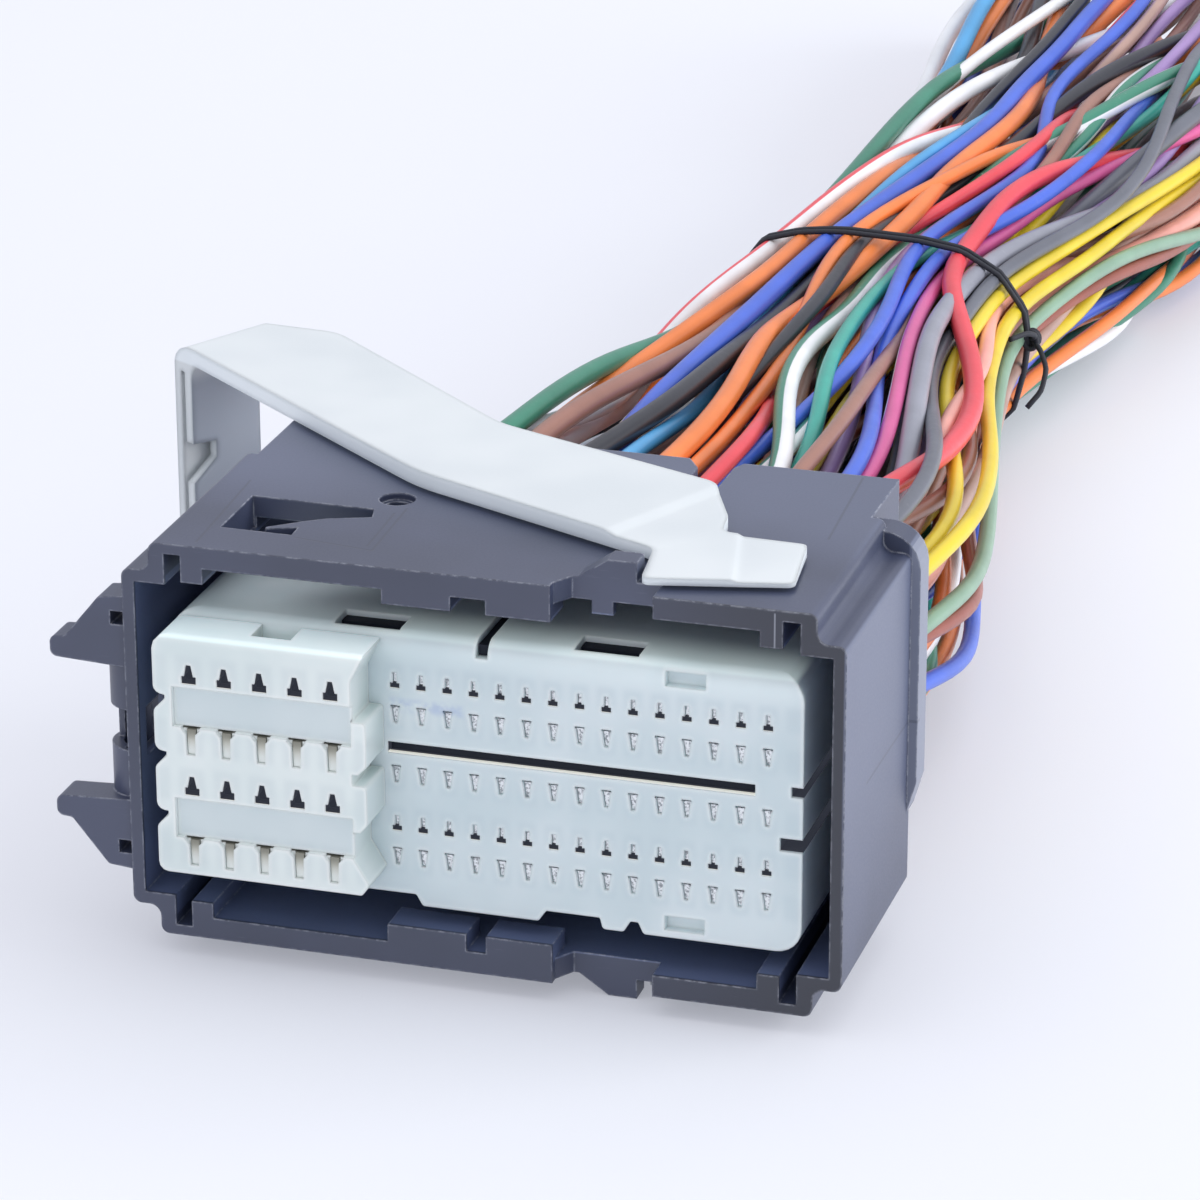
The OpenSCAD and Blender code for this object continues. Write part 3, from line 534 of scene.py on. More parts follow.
# Paler and deeper shade of a sleeve, where its scuffs show, and half the width of a stripe round it
SLEEVE_PALE = 0.10
SLEEVE_DEEP = 0.86
SCUFF_STEP = (0.62, 0.78)
SCUFF_SHARE = 0.35
STRIPE_EDGE = (0.13, 0.15)
STRANDS = 9
# Radius of the bare core as a share of the wire, and how the cut sleeve and the core's tip narrow
CORE_SHARE = 0.29
CUT_SHARE = 0.96
CUT_STEP = 0.12
TIP_SHARE = 0.7
TIP_STEP = 0.1
RING_STEP = 1e-4
# A mesh's rings turn by up to this angle along a wire
MOST_TWIST = 4


def round_wire(finish):
    """How far round the wire a point lies, from 0 to 1."""
    return finish.coordinate("X", finish.node("ShaderNodeUVMap", {"uv_map": "sleeve"}, {}))


def sleeve_finish(name):
    """Plasticised vinyl of one colour, or with a stripe printed along it."""
    plain, _, stripe = name.partition("/")
    finish = Finish("sleeve_" + name.replace("/", "_"), specular_ior_level=0.45)
    base = colour(SLEEVES[plain])
    pale = tuple(blend(part, 1.0, SLEEVE_PALE) for part in base[:3]) + (1.0,)
    deep = tuple(part * SLEEVE_DEEP for part in base[:3]) + (1.0,)
    cloud = finish.noise(9.0, detail=2.0)
    scuff = finish.noise(1.3, detail=4.0, rough=0.65)
    shade = finish.mix(cloud.step(*CLOUD_STEP), deep, base)
    if stripe:
        band = 1 - abs(round_wire(finish) - 0.5).step(*STRIPE_EDGE)
        shade = finish.mix(band, shade, colour(SLEEVES[stripe]))
    shade = finish.mix(scuff.step(*SCUFF_STEP) * SCUFF_SHARE, shade, pale)
    return finish.surface(shade, scuff, roughness=(0.26, 0.16), relief=(0.15, 0.05))


def copper_finish():
    """Bright stranded copper, its strands as ridges along the core."""
    finish = Finish("copper_strands", metallic=1.0)
    strands = (round_wire(finish) * (2 * math.pi * STRANDS)).maths("SINE")
    shade = finish.mix(finish.noise(0.6), colour("b5623a"), colour("e0925f"))
    return finish.feed(base_color=shade, roughness=0.3 + finish.noise(0.8) * 0.2,
                       normal=finish.bump(strands, 0.6, 0.1))


def wire_mesh(name, path, thick, materials, twist):
    """A sleeve that grows out of its cavity and ends in a cut face with the bare core."""
    radii = blend(CAVITY_D / 2, thick / 2, ease((path[:, 1] - CRIMP_Y) / (EXIT_Y - CRIMP_Y)))
    core_r = thick * CORE_SHARE
    cut = np.searchsorted(path[:, 1], END_Y - STRIPPED)
    lip = path[cut - 1]
    sleeve = np.concatenate([path[:cut], [lip, lip]])
    sleeve_r = np.concatenate([radii[:cut], [radii[cut - 1] * CUT_SHARE, core_r]])
    sleeve[-2:, 1] += CUT_STEP
    core = np.concatenate([[sleeve[-1]], path[cut:], [path[-1]]])
    core_radii = np.concatenate([np.full(len(core) - 1, core_r), [core_r * TIP_SHARE]])
    core[-1, 1] += TIP_STEP
    along = np.concatenate([sleeve, core[1:]])
    along[:, 1] = np.maximum.accumulate(along[:, 1] + np.arange(len(along)) * RING_STEP)
    points, faces = tube(along, np.concatenate([sleeve_r, core_radii[1:]]), SIDES, twist)
    rings = len(along)
    faces += end_faces(len(points), SIDES)
    piece = add_mesh(name, points, faces, materials)
    mesh = piece.data
    bare_from = (len(sleeve) - 1) * SIDES
    metal = [int(face[0] >= bare_from) for face in faces]
    metal[-2] = 0
    mesh.polygons.foreach_set("material_index", metal)
    layer = mesh.uv_layers.new(name="sleeve")
    spots = []
    for number, face in enumerate(faces):
        for vertex in face:
            ring, k = divmod(vertex, SIDES)
            across = SIDES if number < len(faces) - 2 and k == 0 and face[0] % SIDES == SIDES - 1 else k
            spots += [across / SIDES, ring / rings]
    layer.data.foreach_set("uv", spots)
    return piece


def make_wires():
    """All the wires of the pigtail, in the places of the part's six plain bundles."""
    wires = list_wires()
    paths = lay_wires(wires)
    finishes = {}
    copper = copper_finish()
    pieces = []
    for wire, path in zip(wires, paths):
        name, _, _, thick, sleeve = wire
        if sleeve not in finishes:
            finishes[sleeve] = sleeve_finish(sleeve)
        twist = draw.uniform(-MOST_TWIST, MOST_TWIST)
        piece = wire_mesh(name, path, thick, (finishes[sleeve], copper), twist)
        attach(piece, "connector")
        pieces.append(piece)
    return wires, paths, pieces


# How many wires are picked out, evenly along the list. The most cords that a part can
# declare
MOST_CORDS = 40


def declare_wires(wires):
    """Hides the part's plain wire bundles; the wires that it picks out, each second or third one, are not
    used.
    """
    held = np.linspace(0, len(wires) - 1, MOST_CORDS).astype(int)
    for number in held:
        wires[number][3] * MM
    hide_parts("power_wires")
    for row in range(len(SIGNAL_SLEEVES)):
        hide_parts(f"signal_wires_row_{row + 1}")


wires, wire_paths, wire_pieces = make_wires()
declare_wires(wires)


# Thread tied round the wires

THREAD_D = 0.65
THREAD_SIDES = 8
# How far the thread's middle stands off the wires, as a share of its diameter
THREAD_LIFT = 0.35
RIM_POINTS = 24
LOOP_POINTS = 96
# Each turn of the thread: how far it sits behind the tie's middle, and how far it slants
THREAD_TURNS = ((-0.2, 0.4), (0.3, -0.4))
# The knot: how far it stands out, half its width and height, and where its turns lie
KNOT_OUT = 0.4
KNOT_HALF = (0.75, 0.95)
KNOT_TURNS = (-0.6, 0.1, 0.7)
KNOT_POINTS = 16
TAIL_POINTS = 17
# Tails of the knot, as steps off its middle
TAILS = (((0, 0, 0), (1.4, -1.5, -0.6), (2.6, -3.4, -2.2), (2.4, -5.0, -4.4), (1.0, -6.2, -6.2)),
         ((0, 0, 0), (0.8, -1.8, 1.2), (0.4, -4.2, 2.2), (-1.2, -6.5, 2.0)))


def hull(points):
    """Corners of the convex outline round flat points, counter-clockwise."""
    points = sorted(map(tuple, points))

    def half(run):
        chain = []
        for p in run:
            while len(chain) > 1:
                (ax, ay), (bx, by) = chain[-2], chain[-1]
                if (bx - ax) * (p[1] - ay) - (by - ay) * (p[0] - ax) > 0:
                    break
                chain.pop()
            chain.append(p)
        return chain[:-1]

    return np.array(half(points) + half(points[::-1]))


def thread_loop():
    """Closed outline that lies on the outside of the wires at the tie, in X and Z."""
    angle = full_turn(RIM_POINTS)
    around = np.stack([np.cos(angle), np.sin(angle)], axis=1)
    rims = []
    for wire, path in zip(wires, wire_paths):
        x, z = (np.interp(TIE_Y, path[:, 1], path[:, axis]) for axis in (0, 2))
        rims.append(np.array([x, z]) + around * (wire[3] / 2 + THREAD_D * THREAD_LIFT))
    corners = hull(np.concatenate(rims))
    closed = np.concatenate([corners, corners[:1]])
    far = np.concatenate([[0], np.cumsum(np.linalg.norm(np.diff(closed, axis=0), axis=1))])
    even = np.linspace(0, far[-1], LOOP_POINTS, endpoint=False)
    return np.stack([np.interp(even, far, closed[:, axis]) for axis in (0, 1)], axis=1)


def ring_tube(loop, radius, sides):
    """Points and faces of a tube round a closed path."""
    along = np.roll(loop, -1, axis=0) - np.roll(loop, 1, axis=0)
    along /= np.linalg.norm(along, axis=1)[:, None]
    out = np.cross(along, (0, 1.0, 0))
    angle = full_turn(sides)
    rings = loop[:, None] + radius * (np.cos(angle)[None, :, None] * out[:, None]
                                      + np.sin(angle)[None, :, None] * np.array([0, 1.0, 0]))
    return rings.reshape(-1, 3), wall_faces(len(loop), sides, len(loop))


def thread_finish():
    """Black waxed thread with short fibres."""
    finish = Finish("tie_thread", specular_ior_level=0.4)
    fibre = finish.noise(0.35)
    shade = finish.mix(fibre, colour("1c1e26"), colour("32353f"))
    return finish.surface(shade, fibre, roughness=(0.5, 0.2), relief=(0.4, 0.08))


def make_tie():
    """Two slanted turns of black thread with a knot and its tails at the right."""
    loop = thread_loop()
    slant = np.sin(full_turn(len(loop)))
    knot = loop[np.argmax(loop[:, 0])]
    parts = []
    for shift, lean in THREAD_TURNS:
        path = np.stack([loop[:, 0], TIE_Y + shift + lean * slant, loop[:, 1]], axis=1)
        parts.append(ring_tube(path, THREAD_D / 2, THREAD_SIDES))
    angle = full_turn(KNOT_POINTS)
    half_w, half_h = KNOT_HALF
    for shift in KNOT_TURNS:
        coil = np.stack([knot[0] + KNOT_OUT + half_w * np.cos(angle), np.full(KNOT_POINTS, TIE_Y + shift),
                         knot[1] + half_h * np.sin(angle)], axis=1)
        parts.append(ring_tube(coil, THREAD_D / 2, THREAD_SIDES))
    for tail in TAILS:
        steps = np.array(tail) + (knot[0] + KNOT_OUT, TIE_Y, knot[1])
        even = np.linspace(0, len(steps) - 1, TAIL_POINTS)
        path = np.stack([np.interp(even, np.arange(len(steps)), steps[:, axis]) for axis in range(3)], axis=1)
        path[1:-1] = smoothed(path)
        points, faces = tube(path, np.full(len(path), THREAD_D / 2), THREAD_SIDES)
        parts.append((points, faces + end_faces(len(points), THREAD_SIDES)))
    points, faces = [], []
    for part_points, part_faces in parts:
        before = sum(map(len, points))
        faces += [tuple(vertex + before for vertex in face) for face in part_faces]
        points.append(part_points)
    piece = add_mesh("wire_tie_thread", np.concatenate(points), faces, [thread_finish()])
    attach(piece, "connector")
    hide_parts("wire_tie")


make_tie()


# Plastics and metal of the connector

BLOCK_FACE = 1.5
BLOCK_TOP = 32.2
CAP_FACE = -3.5
CAP_PROUD = BLOCK_FACE - CAP_FACE
HOUSING_TOP = 39.0
HALF_WIDTH = 34.05
# 1 where a row's contacts sit low in their cavities, -1 where they sit high
SIGNAL_SIDE = (1, -1, -1, 1, -1)
SIGNAL_COLUMNS = 15
POWER_COLUMNS = 5
SIGNAL_END = SIGNAL_X + SIGNAL_PITCH * (SIGNAL_COLUMNS - 1)
POWER_END = POWER_X + POWER_PITCH * (POWER_COLUMNS - 1)

# Ground of each plastic: its two screen colours, and the size of the clouds that they make
GROUNDS = {
    "housing": ("353c53", "3f465f", 14.0),
    "block": ("cedcdf", "dbe6e8", 11.0),
    "cap": ("dce7e5", "e8f0ed", 8.0),
    "lever": ("d0d6d9", "d9dee0", 16.0),
}
# Tints laid over the plastics and metals: screen colour, and how much of it shows. The cut lines and the
# stain are real marks, the rub and nicks are wear and painted highlight, and all the rest are painted light
# and shade
TINTS = {
    "shroud_room": ("5f6c90", 0.7),
    "front_rim": ("0c1120", 1.0),
    "right_wall": ("687089", 0.6),
    "lug": ("7a8092", 1.0),
    "top_back": ("687089", 0.4),
    "cut_lines": ("2a2d38", 0.35),
    "rubbed": ("7d8296", 1.0),
    "nicks": ("b9bdc9", 0.75),
    "seams": ("b9bdc9", 0.6),
    "signal_cells": ("c3d3d8", 0.35),
    "block_edges": ("f2faf7", 0.7),
    "stain": ("a3b6da", 0.5),
    "block_opening": ("2b2a2c", 1.0),
    "block_brow_glow": ("3f4340", 1.0),
    "block_top_glow": ("7e8984", 1.0),
    "opening_glow": ("2d3039", 1.0),
    "lip_glow": ("b9b5a8", 1.0),
    "cap_side": ("bccdc8", 0.6),
    "power_cells": ("c8d3d5", 0.25),
    "cap_band": ("c6d3d8", 0.5),
    "cap_edges": ("f8fbf6", 0.8),
    "cap_top_glow": ("76868c", 1.0),
    "keyhole": ("2c2a2b", 1.0),
    "power_slot": ("a3a298", 1.0),
    "crossbar_inside": ("8e98a8", 0.8),
    "arm_edge_glow": ("5a6068", 1.0),
    "signal_behind": ("3a393b", 1.0),
    "power_under_cap": ("6f6d62", 0.75),
    "power_foot": ("eef2ee", 0.9),
    "power_behind": ("242326", 1.0),
}
NO_GLOW = colour("000000")
# Specks of the finishes: their size, detail and roughness, and from what value to what value they fade in
SPECKS = {
    "nicks": (0.9, 4.0, 0.7, 0.42, 0.6),
    "rub": (3.0, 3.0, 0.5, 0.3, 0.6),
    "hair": (0.5, 2.0, 0.5, 0.7, 0.76),
    "stain": (1.6, 3.0, 0.5, 0.36, 0.6),
}
# Size of the pale plastics' grain, and strength and depth of its relief
GRAIN_SIZE = 0.3
GRAIN_RELIEF = (0.08, 0.04)


def ground(finish, name):
    """A plastic's own colour, cloudy between two shades."""
    deep, pale, size = GROUNDS[name]
    cloud = finish.noise(size, detail=2.0)
    return finish.mix(cloud.step(*CLOUD_STEP), colour(deep), colour(pale))


def tinted(finish, shade, **masks):
    """A colour with tints laid over it, one after the other, as far as their masks say."""
    for name, mask in masks.items():
        code, share = TINTS[name]
        shade = finish.mix(mask * share, shade, colour(code))
    return shade


def specks(finish, name, spot=None):
    """1 in the specks of one kind, 0 between them."""
    size, detail, rough, low, high = SPECKS[name]
    return finish.noise(size, detail, rough, spot).step(low, high)


# Housing

# Parts of the shroud's inside that get painted bluish light, as lowest and highest corner
SHROUD_BACK = 24.0
SHROUD_ROOM = ((-HALF_WIDTH + 0.6, 0.3, 3.2), (HALF_WIDTH - 0.6, SHROUD_BACK, HOUSING_TOP - 3.2))
SHROUD_FLOOR = ((-31.0, 0.3, 1.9), (31.0, SHROUD_BACK, 3.3))
# The rim, the right wall and the top are known by their places, within these distances
RIM_FADE = (0.1, 0.3)
FACE_FADE = (-0.3, -0.1)
LUG_FADE = (0.02, 0.05)
# Painted shade on the rim's front face: its share at the middle, and what it gains to the right
RIM_DARK = 0.15
RIM_DARKER = 0.7
# Heights and distances between which the right wall and the top get lighter with a painted sheen
WALL_LIGHT = (2.0, 26.0)
TOP_LIGHT = (8.0, 24.0)
# Fine lines cut in the housing's top beside its window and at its back, as plan points
FRAME_LINES = (((-27.1, 1.2), (-28.1, 17.9)), ((-11.9, 4.5), (-12.3, 13.4)), ((-11.1, 3.7), (-11.6, 14.9)),
               ((-19.0, 4.9), (-11.1, 3.7)), ((27.6, 18.1), (26.65, 34.8)))
FRAME_LINE_HALF = 0.16
# Scratch down the right wall, as distance behind the rim and height, and half its width
WALL_SCRATCH = ((8.0, 19.95), (24.6, 19.65), 0.2)
# Painted highlight line up the front of the upper wall, as place across and height, and half its width
FRONT_SEAM = ((27.5, 35.1), (27.5, 38.7), 0.1)
FRONT_SEAM_SHARE = 0.7
# Plan of the corner that the step at the right makes with the wall above it, along which a highlight is
# painted, and half its width
STEP_CORNER = ((31.35, 0.3), (31.35, 22.7), 0.25)
STEP_TOP = 36.2
STEP_FADE = (0.2, 0.4)
LINE_END = 0.1
# How hairline scratches are drawn out along each axis
HAIR_STRETCH = (0.12, 1.6, 1.6)
# Shares of the pale rub on the edges, which is wear and painted highlight, and of the hairline scratches
RUB_SHARE = 0.35
HAIR_SHARE = 0.12


def near_line(finish, start, end, half, axes="XY"):
    """1 along a line between two points of a plane, 0 beside it."""
    spot = finish.place_on_surface()
    x, y = (finish.coordinate(axis, spot) for axis in axes)
    along = np.subtract(end, start)
    length = math.hypot(*along)
    ahead = along / length
    run = (x - start[0]) * ahead[0] + (y - start[1]) * ahead[1]
    off = abs((y - start[1]) * ahead[0] - (x - start[0]) * ahead[1])
    between = run.step(-LINE_END, LINE_END) * (1 - run.step(length - LINE_END, length + LINE_END))
    return (1 - off.step(half / 2, half)) * between


def housing_finish():
    """Charcoal glass-filled nylon: fine moulded grain, hairline marks on top, edges nicked pale and painted
    with highlights; painted light, sheen and shade by place.
    """
    finish = Finish("housing_plastic", specular_ior_level=0.9)
    across, back, height = (finish.coordinate(axis) for axis in "XYZ")
    front = 1 - back.step(*RIM_FADE)
    right = (across - HALF_WIDTH).step(*FACE_FADE)
    on_top = (height - HOUSING_TOP).step(*FACE_FADE)
    # Painted bluish light inside the shroud, and painted shade on the rim's front face, darker to the right
    room = finish.inside(*SHROUD_ROOM).either(finish.inside(*SHROUD_FLOOR))
    rim = front * (RIM_DARK + across.step(0.0, HALF_WIDTH) * RIM_DARKER)
    lines = 0.0
    for start, end in FRAME_LINES:
        lines = near_line(finish, start, end, FRAME_LINE_HALF) + lines
    lines = lines * on_top + near_line(finish, *WALL_SCRATCH, "YZ") * right
    # Painted highlight lines up the front of the upper wall and along the step's corner
    seams = near_line(finish, *FRONT_SEAM, "XZ") * front * FRONT_SEAM_SHARE
    at_step = 1 - abs(height - STEP_TOP).step(*STEP_FADE)
    seams = near_line(finish, *STEP_CORNER) * at_step + seams
    edge = finish.edge(0.3)
    stretched = finish.node("ShaderNodeVectorMath", {"operation": "MULTIPLY"},
                            {0: finish.place_on_surface(), 1: HAIR_STRETCH})
    hair = specks(finish, "hair", stretched)
    # Painted sheen on the right wall, its lug and the back of the top; painted highlights ride on the pale
    # edges
    shade = tinted(finish, ground(finish, "housing"), shroud_room=room, front_rim=rim,
                   right_wall=right * height.step(*WALL_LIGHT),
                   lug=right * (across - HALF_WIDTH).step(*LUG_FADE),
                   top_back=on_top * back.step(*TOP_LIGHT), cut_lines=lines,
                   rubbed=edge * specks(finish, "rub") * RUB_SHARE + hair * HAIR_SHARE,
                   nicks=edge * specks(finish, "nicks"), seams=seams)
    grain = finish.noise(0.25, detail=4.0, rough=0.6)
    relief = grain * 0.5 - lines * 2.0
    return finish.feed(base_color=shade, roughness=0.32 + grain * 0.16 + hair * 0.1,
                       normal=finish.bump(relief, 0.14, 0.05, finish.round_normal(0.25)))


# Contact block and power cap

# How the painted shade of a cavity behind the face fades off its walls, and half its width and height
CELL_FADE = (-0.45, 0.35)
ROW_FADE = (-0.6, 0.4)
SIGNAL_CELL = (0.9, 1.3)
POWER_CELL = (1.3, 1.8)
# Stain beside the first signal columns, as lowest and highest corner
STAIN = ((-9.4, 0.0, 24.2), (-1.4, BLOCK_FACE + 1.2, 26.2))
STAIN_FADE = 0.9
# Left and right end of what runs across the columns, and the face that its depths are off
SIGNAL_SPAN = (SIGNAL_X - 1.3, SIGNAL_END + 1.0, BLOCK_FACE)
POWER_SPAN = (POWER_X - 1.2, POWER_END + 1.2, CAP_FACE)
CAP_SPAN = (POWER_X - 2.0, POWER_END + 2.0, CAP_FACE)
# Depths at which openings get painted shade: the block's cavities, bars, long slot and grooves
SIGNAL_REACH = 28.5
CAVITY_DARK = (0.6, SIGNAL_REACH)
BAR_DARK = (0.08, SIGNAL_REACH)
SLOT_DARK = (0.1, SIGNAL_REACH)
GROOVE_DARK = (0.3, SIGNAL_REACH)
# The same for the cap's keyholes and slots
KEYHOLE_DARK = (0.1, CAP_PROUD)
POWER_SLOT_DARK = (0.5, CAP_PROUD)
OPENING_FADE = 0.05
# Heights off a row's middle: its cavities, the bar under a low contact, the gap over a high one
CAVITY_HALF = 1.7
LOW_CONTACT_BAR = (-1.25, -0.66)
HIGH_CONTACT_GAP = (1.0, 1.17)
POWER_OPENING = (-1.05, 1.1)
# Heights of the long slot; depths and rise of the lower lips of the openings, which get painted light
KEY_SLOT = (20.44, 21.6)
KEY_LIP = (20.3, 20.48)
KEY_LIP_DEPTH = (0.05, 0.7)
LIP_DEPTH = (0.02, 0.15)
LIP_RISE = 0.12
LIP_FADE = 0.04
# Left side, lowest and highest point of the two grooves along the block's right wall
GROOVES = ((28.7, 20.6, 21.7), (27.7, 15.25, 16.65))
BLOCK_SIDE = 30.5
# Painted light glowing from the block: on its brow, and on its top, which gets dim to the back and behind the
# cap
BROW = (28.6, 30.6)
BROW_DEPTH = (0.3, 0.8)
TOP_EDGE = (-0.8, -0.4)
TOP_DIM = (0.5, 9.0)
BEHIND_CAP = (-14.0, -6.0)
BEHIND_CAP_LIGHT = 0.4
# Lower and upper edge of the two bands across the power cap, which get painted shade
CAP_BANDS = ((POWER_Z[1] + 1.0, POWER_Z[0] - 1.4), (POWER_Z[3] + 1.0, POWER_Z[2] - 1.4))
CAP_BAND_DEPTH = (0.3, 0.7)
CAP_BAND_FADE = 0.1
# Heights off the block's top where the cap's top gets painted light, and depths over which its sides get
# painted shade
CAP_TOP_EDGE = (-1.6, -1.2)
CAP_SIDE_DEPTH = (0.5, CAP_PROUD)


def cells(finish, first, pitch, rows, half):
    """1 in front of the cavities, where their painted shade shows through the face, and 0 between them."""
    spot = finish.place_on_surface()
    column = (finish.coordinate("X", spot) - first) / pitch + 0.5
    off = abs(column.maths("FRACT") - 0.5) * pitch
    height = finish.coordinate("Z", spot)
    share = 0.0
    for row in rows:
        share = 1 - (abs(height - row) - half[1]).step(*ROW_FADE) + share
    return share * (1 - (off - half[0]).step(*CELL_FADE))


def band(finish, span, depths, low, high, fade=OPENING_FADE):
    """1 between two heights, across a span and between two depths behind its face."""
    left, right, face = span
    return finish.inside((left, face + depths[0], low), (right, face + depths[1], high), fade)


def block_openings(finish):
    """Where the block's openings get painted shade, and where their lower lips get painted light."""
    low, high = SIGNAL_Z[-1] - CAVITY_HALF, SIGNAL_Z[0] + CAVITY_HALF
    dark = band(finish, SIGNAL_SPAN, CAVITY_DARK, low, high, 0.1)
    dark = dark.either(band(finish, SIGNAL_SPAN, SLOT_DARK, *KEY_SLOT))
    lips = band(finish, SIGNAL_SPAN, KEY_LIP_DEPTH, *KEY_LIP, LIP_FADE)
    for middle, side in zip(SIGNAL_Z, SIGNAL_SIDE):
        low, high = (middle + off for off in (LOW_CONTACT_BAR if side > 0 else HIGH_CONTACT_GAP))
        dark = dark.either(band(finish, SIGNAL_SPAN, BAR_DARK, low, high))
        if side > 0:
            lips = lips.either(band(finish, SIGNAL_SPAN, LIP_DEPTH, low, low + LIP_RISE, LIP_FADE))
    for left, low, high in GROOVES:
        dark = dark.either(band(finish, (left, BLOCK_SIDE, BLOCK_FACE), GROOVE_DARK, low, high))
    return dark, lips


def block_finish():
    """Natural polyester with a mint cast that lets some light in, with painted shade over its cavities and
    down its openings, and painted light on its edges, lips, brow and top.
    """
    finish = Finish("block_plastic", specular_ior_level=0.45, subsurface_weight=0.25,
                    subsurface_radius=(0.9, 1.2, 1.2), subsurface_scale=0.0012, emission_strength=1.0)
    across, back, height = (finish.coordinate(axis) for axis in "XYZ")
    dark, lips = block_openings(finish)
    brow = height.step(*BROW) * (1 - (back - BLOCK_FACE).step(*BROW_DEPTH))
    top = finish.upward() * (height - BLOCK_TOP).step(*TOP_EDGE) * (1 - back.step(*TOP_DIM))
    top = top * (BEHIND_CAP_LIGHT + across.step(*BEHIND_CAP) * (1 - BEHIND_CAP_LIGHT))
    # Painted shade over the cavities and down the openings, and painted light along the edges
    shade = tinted(finish, ground(finish, "block"),
                   signal_cells=cells(finish, SIGNAL_X, SIGNAL_PITCH, SIGNAL_Z, SIGNAL_CELL),
                   block_edges=finish.edge(1.0),
                   stain=finish.inside(*STAIN, STAIN_FADE) * specks(finish, "stain"), block_opening=dark)
    # Painted light: glow on the brow and top, a dim fill in the openings and pale light on the lips
    glow = tinted(finish, NO_GLOW, block_brow_glow=brow, block_top_glow=top, opening_glow=dark, lip_glow=lips)
    return finish.surface(shade, finish.noise(GRAIN_SIZE), (0.34, 0.12), GRAIN_RELIEF, glow, edge_radius=0.3)


def cap_finish():
    """Paler polyester than the block's, with painted shade on its sides and bands, over its cavities and down
    its keyholes and slots, and painted light on its edges, top and keyhole lips.
    """
    finish = Finish("cap_plastic", specular_ior_level=0.45, subsurface_weight=0.2,
                    subsurface_radius=(1.0, 1.1, 1.1), subsurface_scale=0.001, emission_strength=1.0)
    back, height = (finish.coordinate(axis) for axis in "YZ")
    top = finish.upward() * (height - BLOCK_TOP).step(*CAP_TOP_EDGE)
    # Painted shade on the cap's sides towards the block and over its cavities
    shade = tinted(finish, ground(finish, "cap"),
                   cap_side=(back - CAP_FACE).step(*CAP_SIDE_DEPTH) * (1 - top),
                   power_cells=cells(finish, POWER_X, POWER_PITCH, POWER_Z, POWER_CELL))
    for edges in CAP_BANDS:
        shade = tinted(finish, shade, cap_band=band(finish, CAP_SPAN, CAP_BAND_DEPTH, *edges, CAP_BAND_FADE))
    # Painted light along the cap's edges, and glowing on its top
    shade = tinted(finish, shade, cap_edges=finish.edge(0.8))
    glow = tinted(finish, NO_GLOW, cap_top_glow=top)
    # Painted shade down the slots and keyholes, with a dim painted fill and painted light on the keyholes'
    # lips
    for row, middle in enumerate(POWER_Z):
        low, high = (middle + off for off in POWER_OPENING)
        if row % 2:
            shade = tinted(finish, shade, power_slot=band(finish, POWER_SPAN, POWER_SLOT_DARK, low, high))
        else:
            deep = band(finish, POWER_SPAN, KEYHOLE_DARK, low, high)
            lip = band(finish, POWER_SPAN, LIP_DEPTH, low, low + LIP_RISE, LIP_FADE)
            shade = tinted(finish, shade, keyhole=deep)
            glow = tinted(finish, glow, opening_glow=deep, lip_glow=lip)
    return finish.surface(shade, finish.noise(GRAIN_SIZE), (0.34, 0.12), GRAIN_RELIEF, glow, edge_radius=0.25)


# Lever, contacts and lock

# Corner of the lever's crossbar in plan, the way to its inner face, and that face's distance
BAR_CORNER = (-47.35, 47.6)
BAR_INWARD = (0.883, -0.469)
BAR_THICK = 2.6
# Distances off the inner face, and heights off the housing's top, over which its painted shade comes and goes
BAR_SHADE_IN = (-0.2, 0.0)
BAR_SHADE_OUT = (1.0, 2.0)
BAR_SHADE_TOP = (-2.0, 0.0)
# Heights off the housing's top over which the arm's side faces get painted light
ARM_EDGE = (0.2, 0.5)
# Depths behind the faces over which the contacts get painted shade
SIGNAL_DARK = (0.9, 1.1)
POWER_DARK = (1.0, 1.25)
# Power rows whose contacts show, and heights off them that get painted shade from the cap and painted light
# at the foot
POWER_SHOWN = (1, 3)
POWER_UNDER = 0.9
POWER_UNDER_FADE = (0.1, 1.5)
POWER_FOOT = -1.8
POWER_FOOT_FADE = (0.3, 2.2)


def lever_finish():
    """White satin plastic, with painted shade on the crossbar's inner face that faces the housing and painted
    light on the arm's side faces.
    """
    finish = Finish("lever_plastic", specular_ior_level=0.5, emission_strength=1.0)
    x, y, height = (finish.coordinate(axis) for axis in "XYZ")
    over = height - HOUSING_TOP
    inward = (x - BAR_CORNER[0]) * BAR_INWARD[0] + (y - BAR_CORNER[1]) * BAR_INWARD[1] - BAR_THICK
    inner = inward.step(*BAR_SHADE_IN) * (1 - inward.step(*BAR_SHADE_OUT)) * (1 - over.step(*BAR_SHADE_TOP))
    shade = tinted(finish, ground(finish, "lever"), crossbar_inside=inner)
    glow = tinted(finish, NO_GLOW, arm_edge_glow=over.step(*ARM_EDGE) * (1 - finish.upward()))
    return finish.surface(shade, finish.noise(GRAIN_SIZE), (0.38, 0.14), GRAIN_RELIEF, glow, edge_radius=1.0)


def signal_tin_finish():
    """Bright tin on the tongues, with painted shade and a dim painted glow behind them."""
    finish = Finish("signal_tin", metallic=0.4, emission_strength=1.0)
    ripple = finish.noise(0.3, rough=0.6)
    behind = (finish.coordinate("Y") - BLOCK_FACE).step(*SIGNAL_DARK)
    shade = finish.mix(ripple.step(0.36, 0.56), colour("9a9ea2"), colour("fafbfc"))
    shade = tinted(finish, shade, signal_behind=behind)
    glow = tinted(finish, NO_GLOW, opening_glow=behind)
    return finish.surface(shade, ripple, roughness=(0.34, 0.3), relief=(0.25, 0.08), glow=glow)


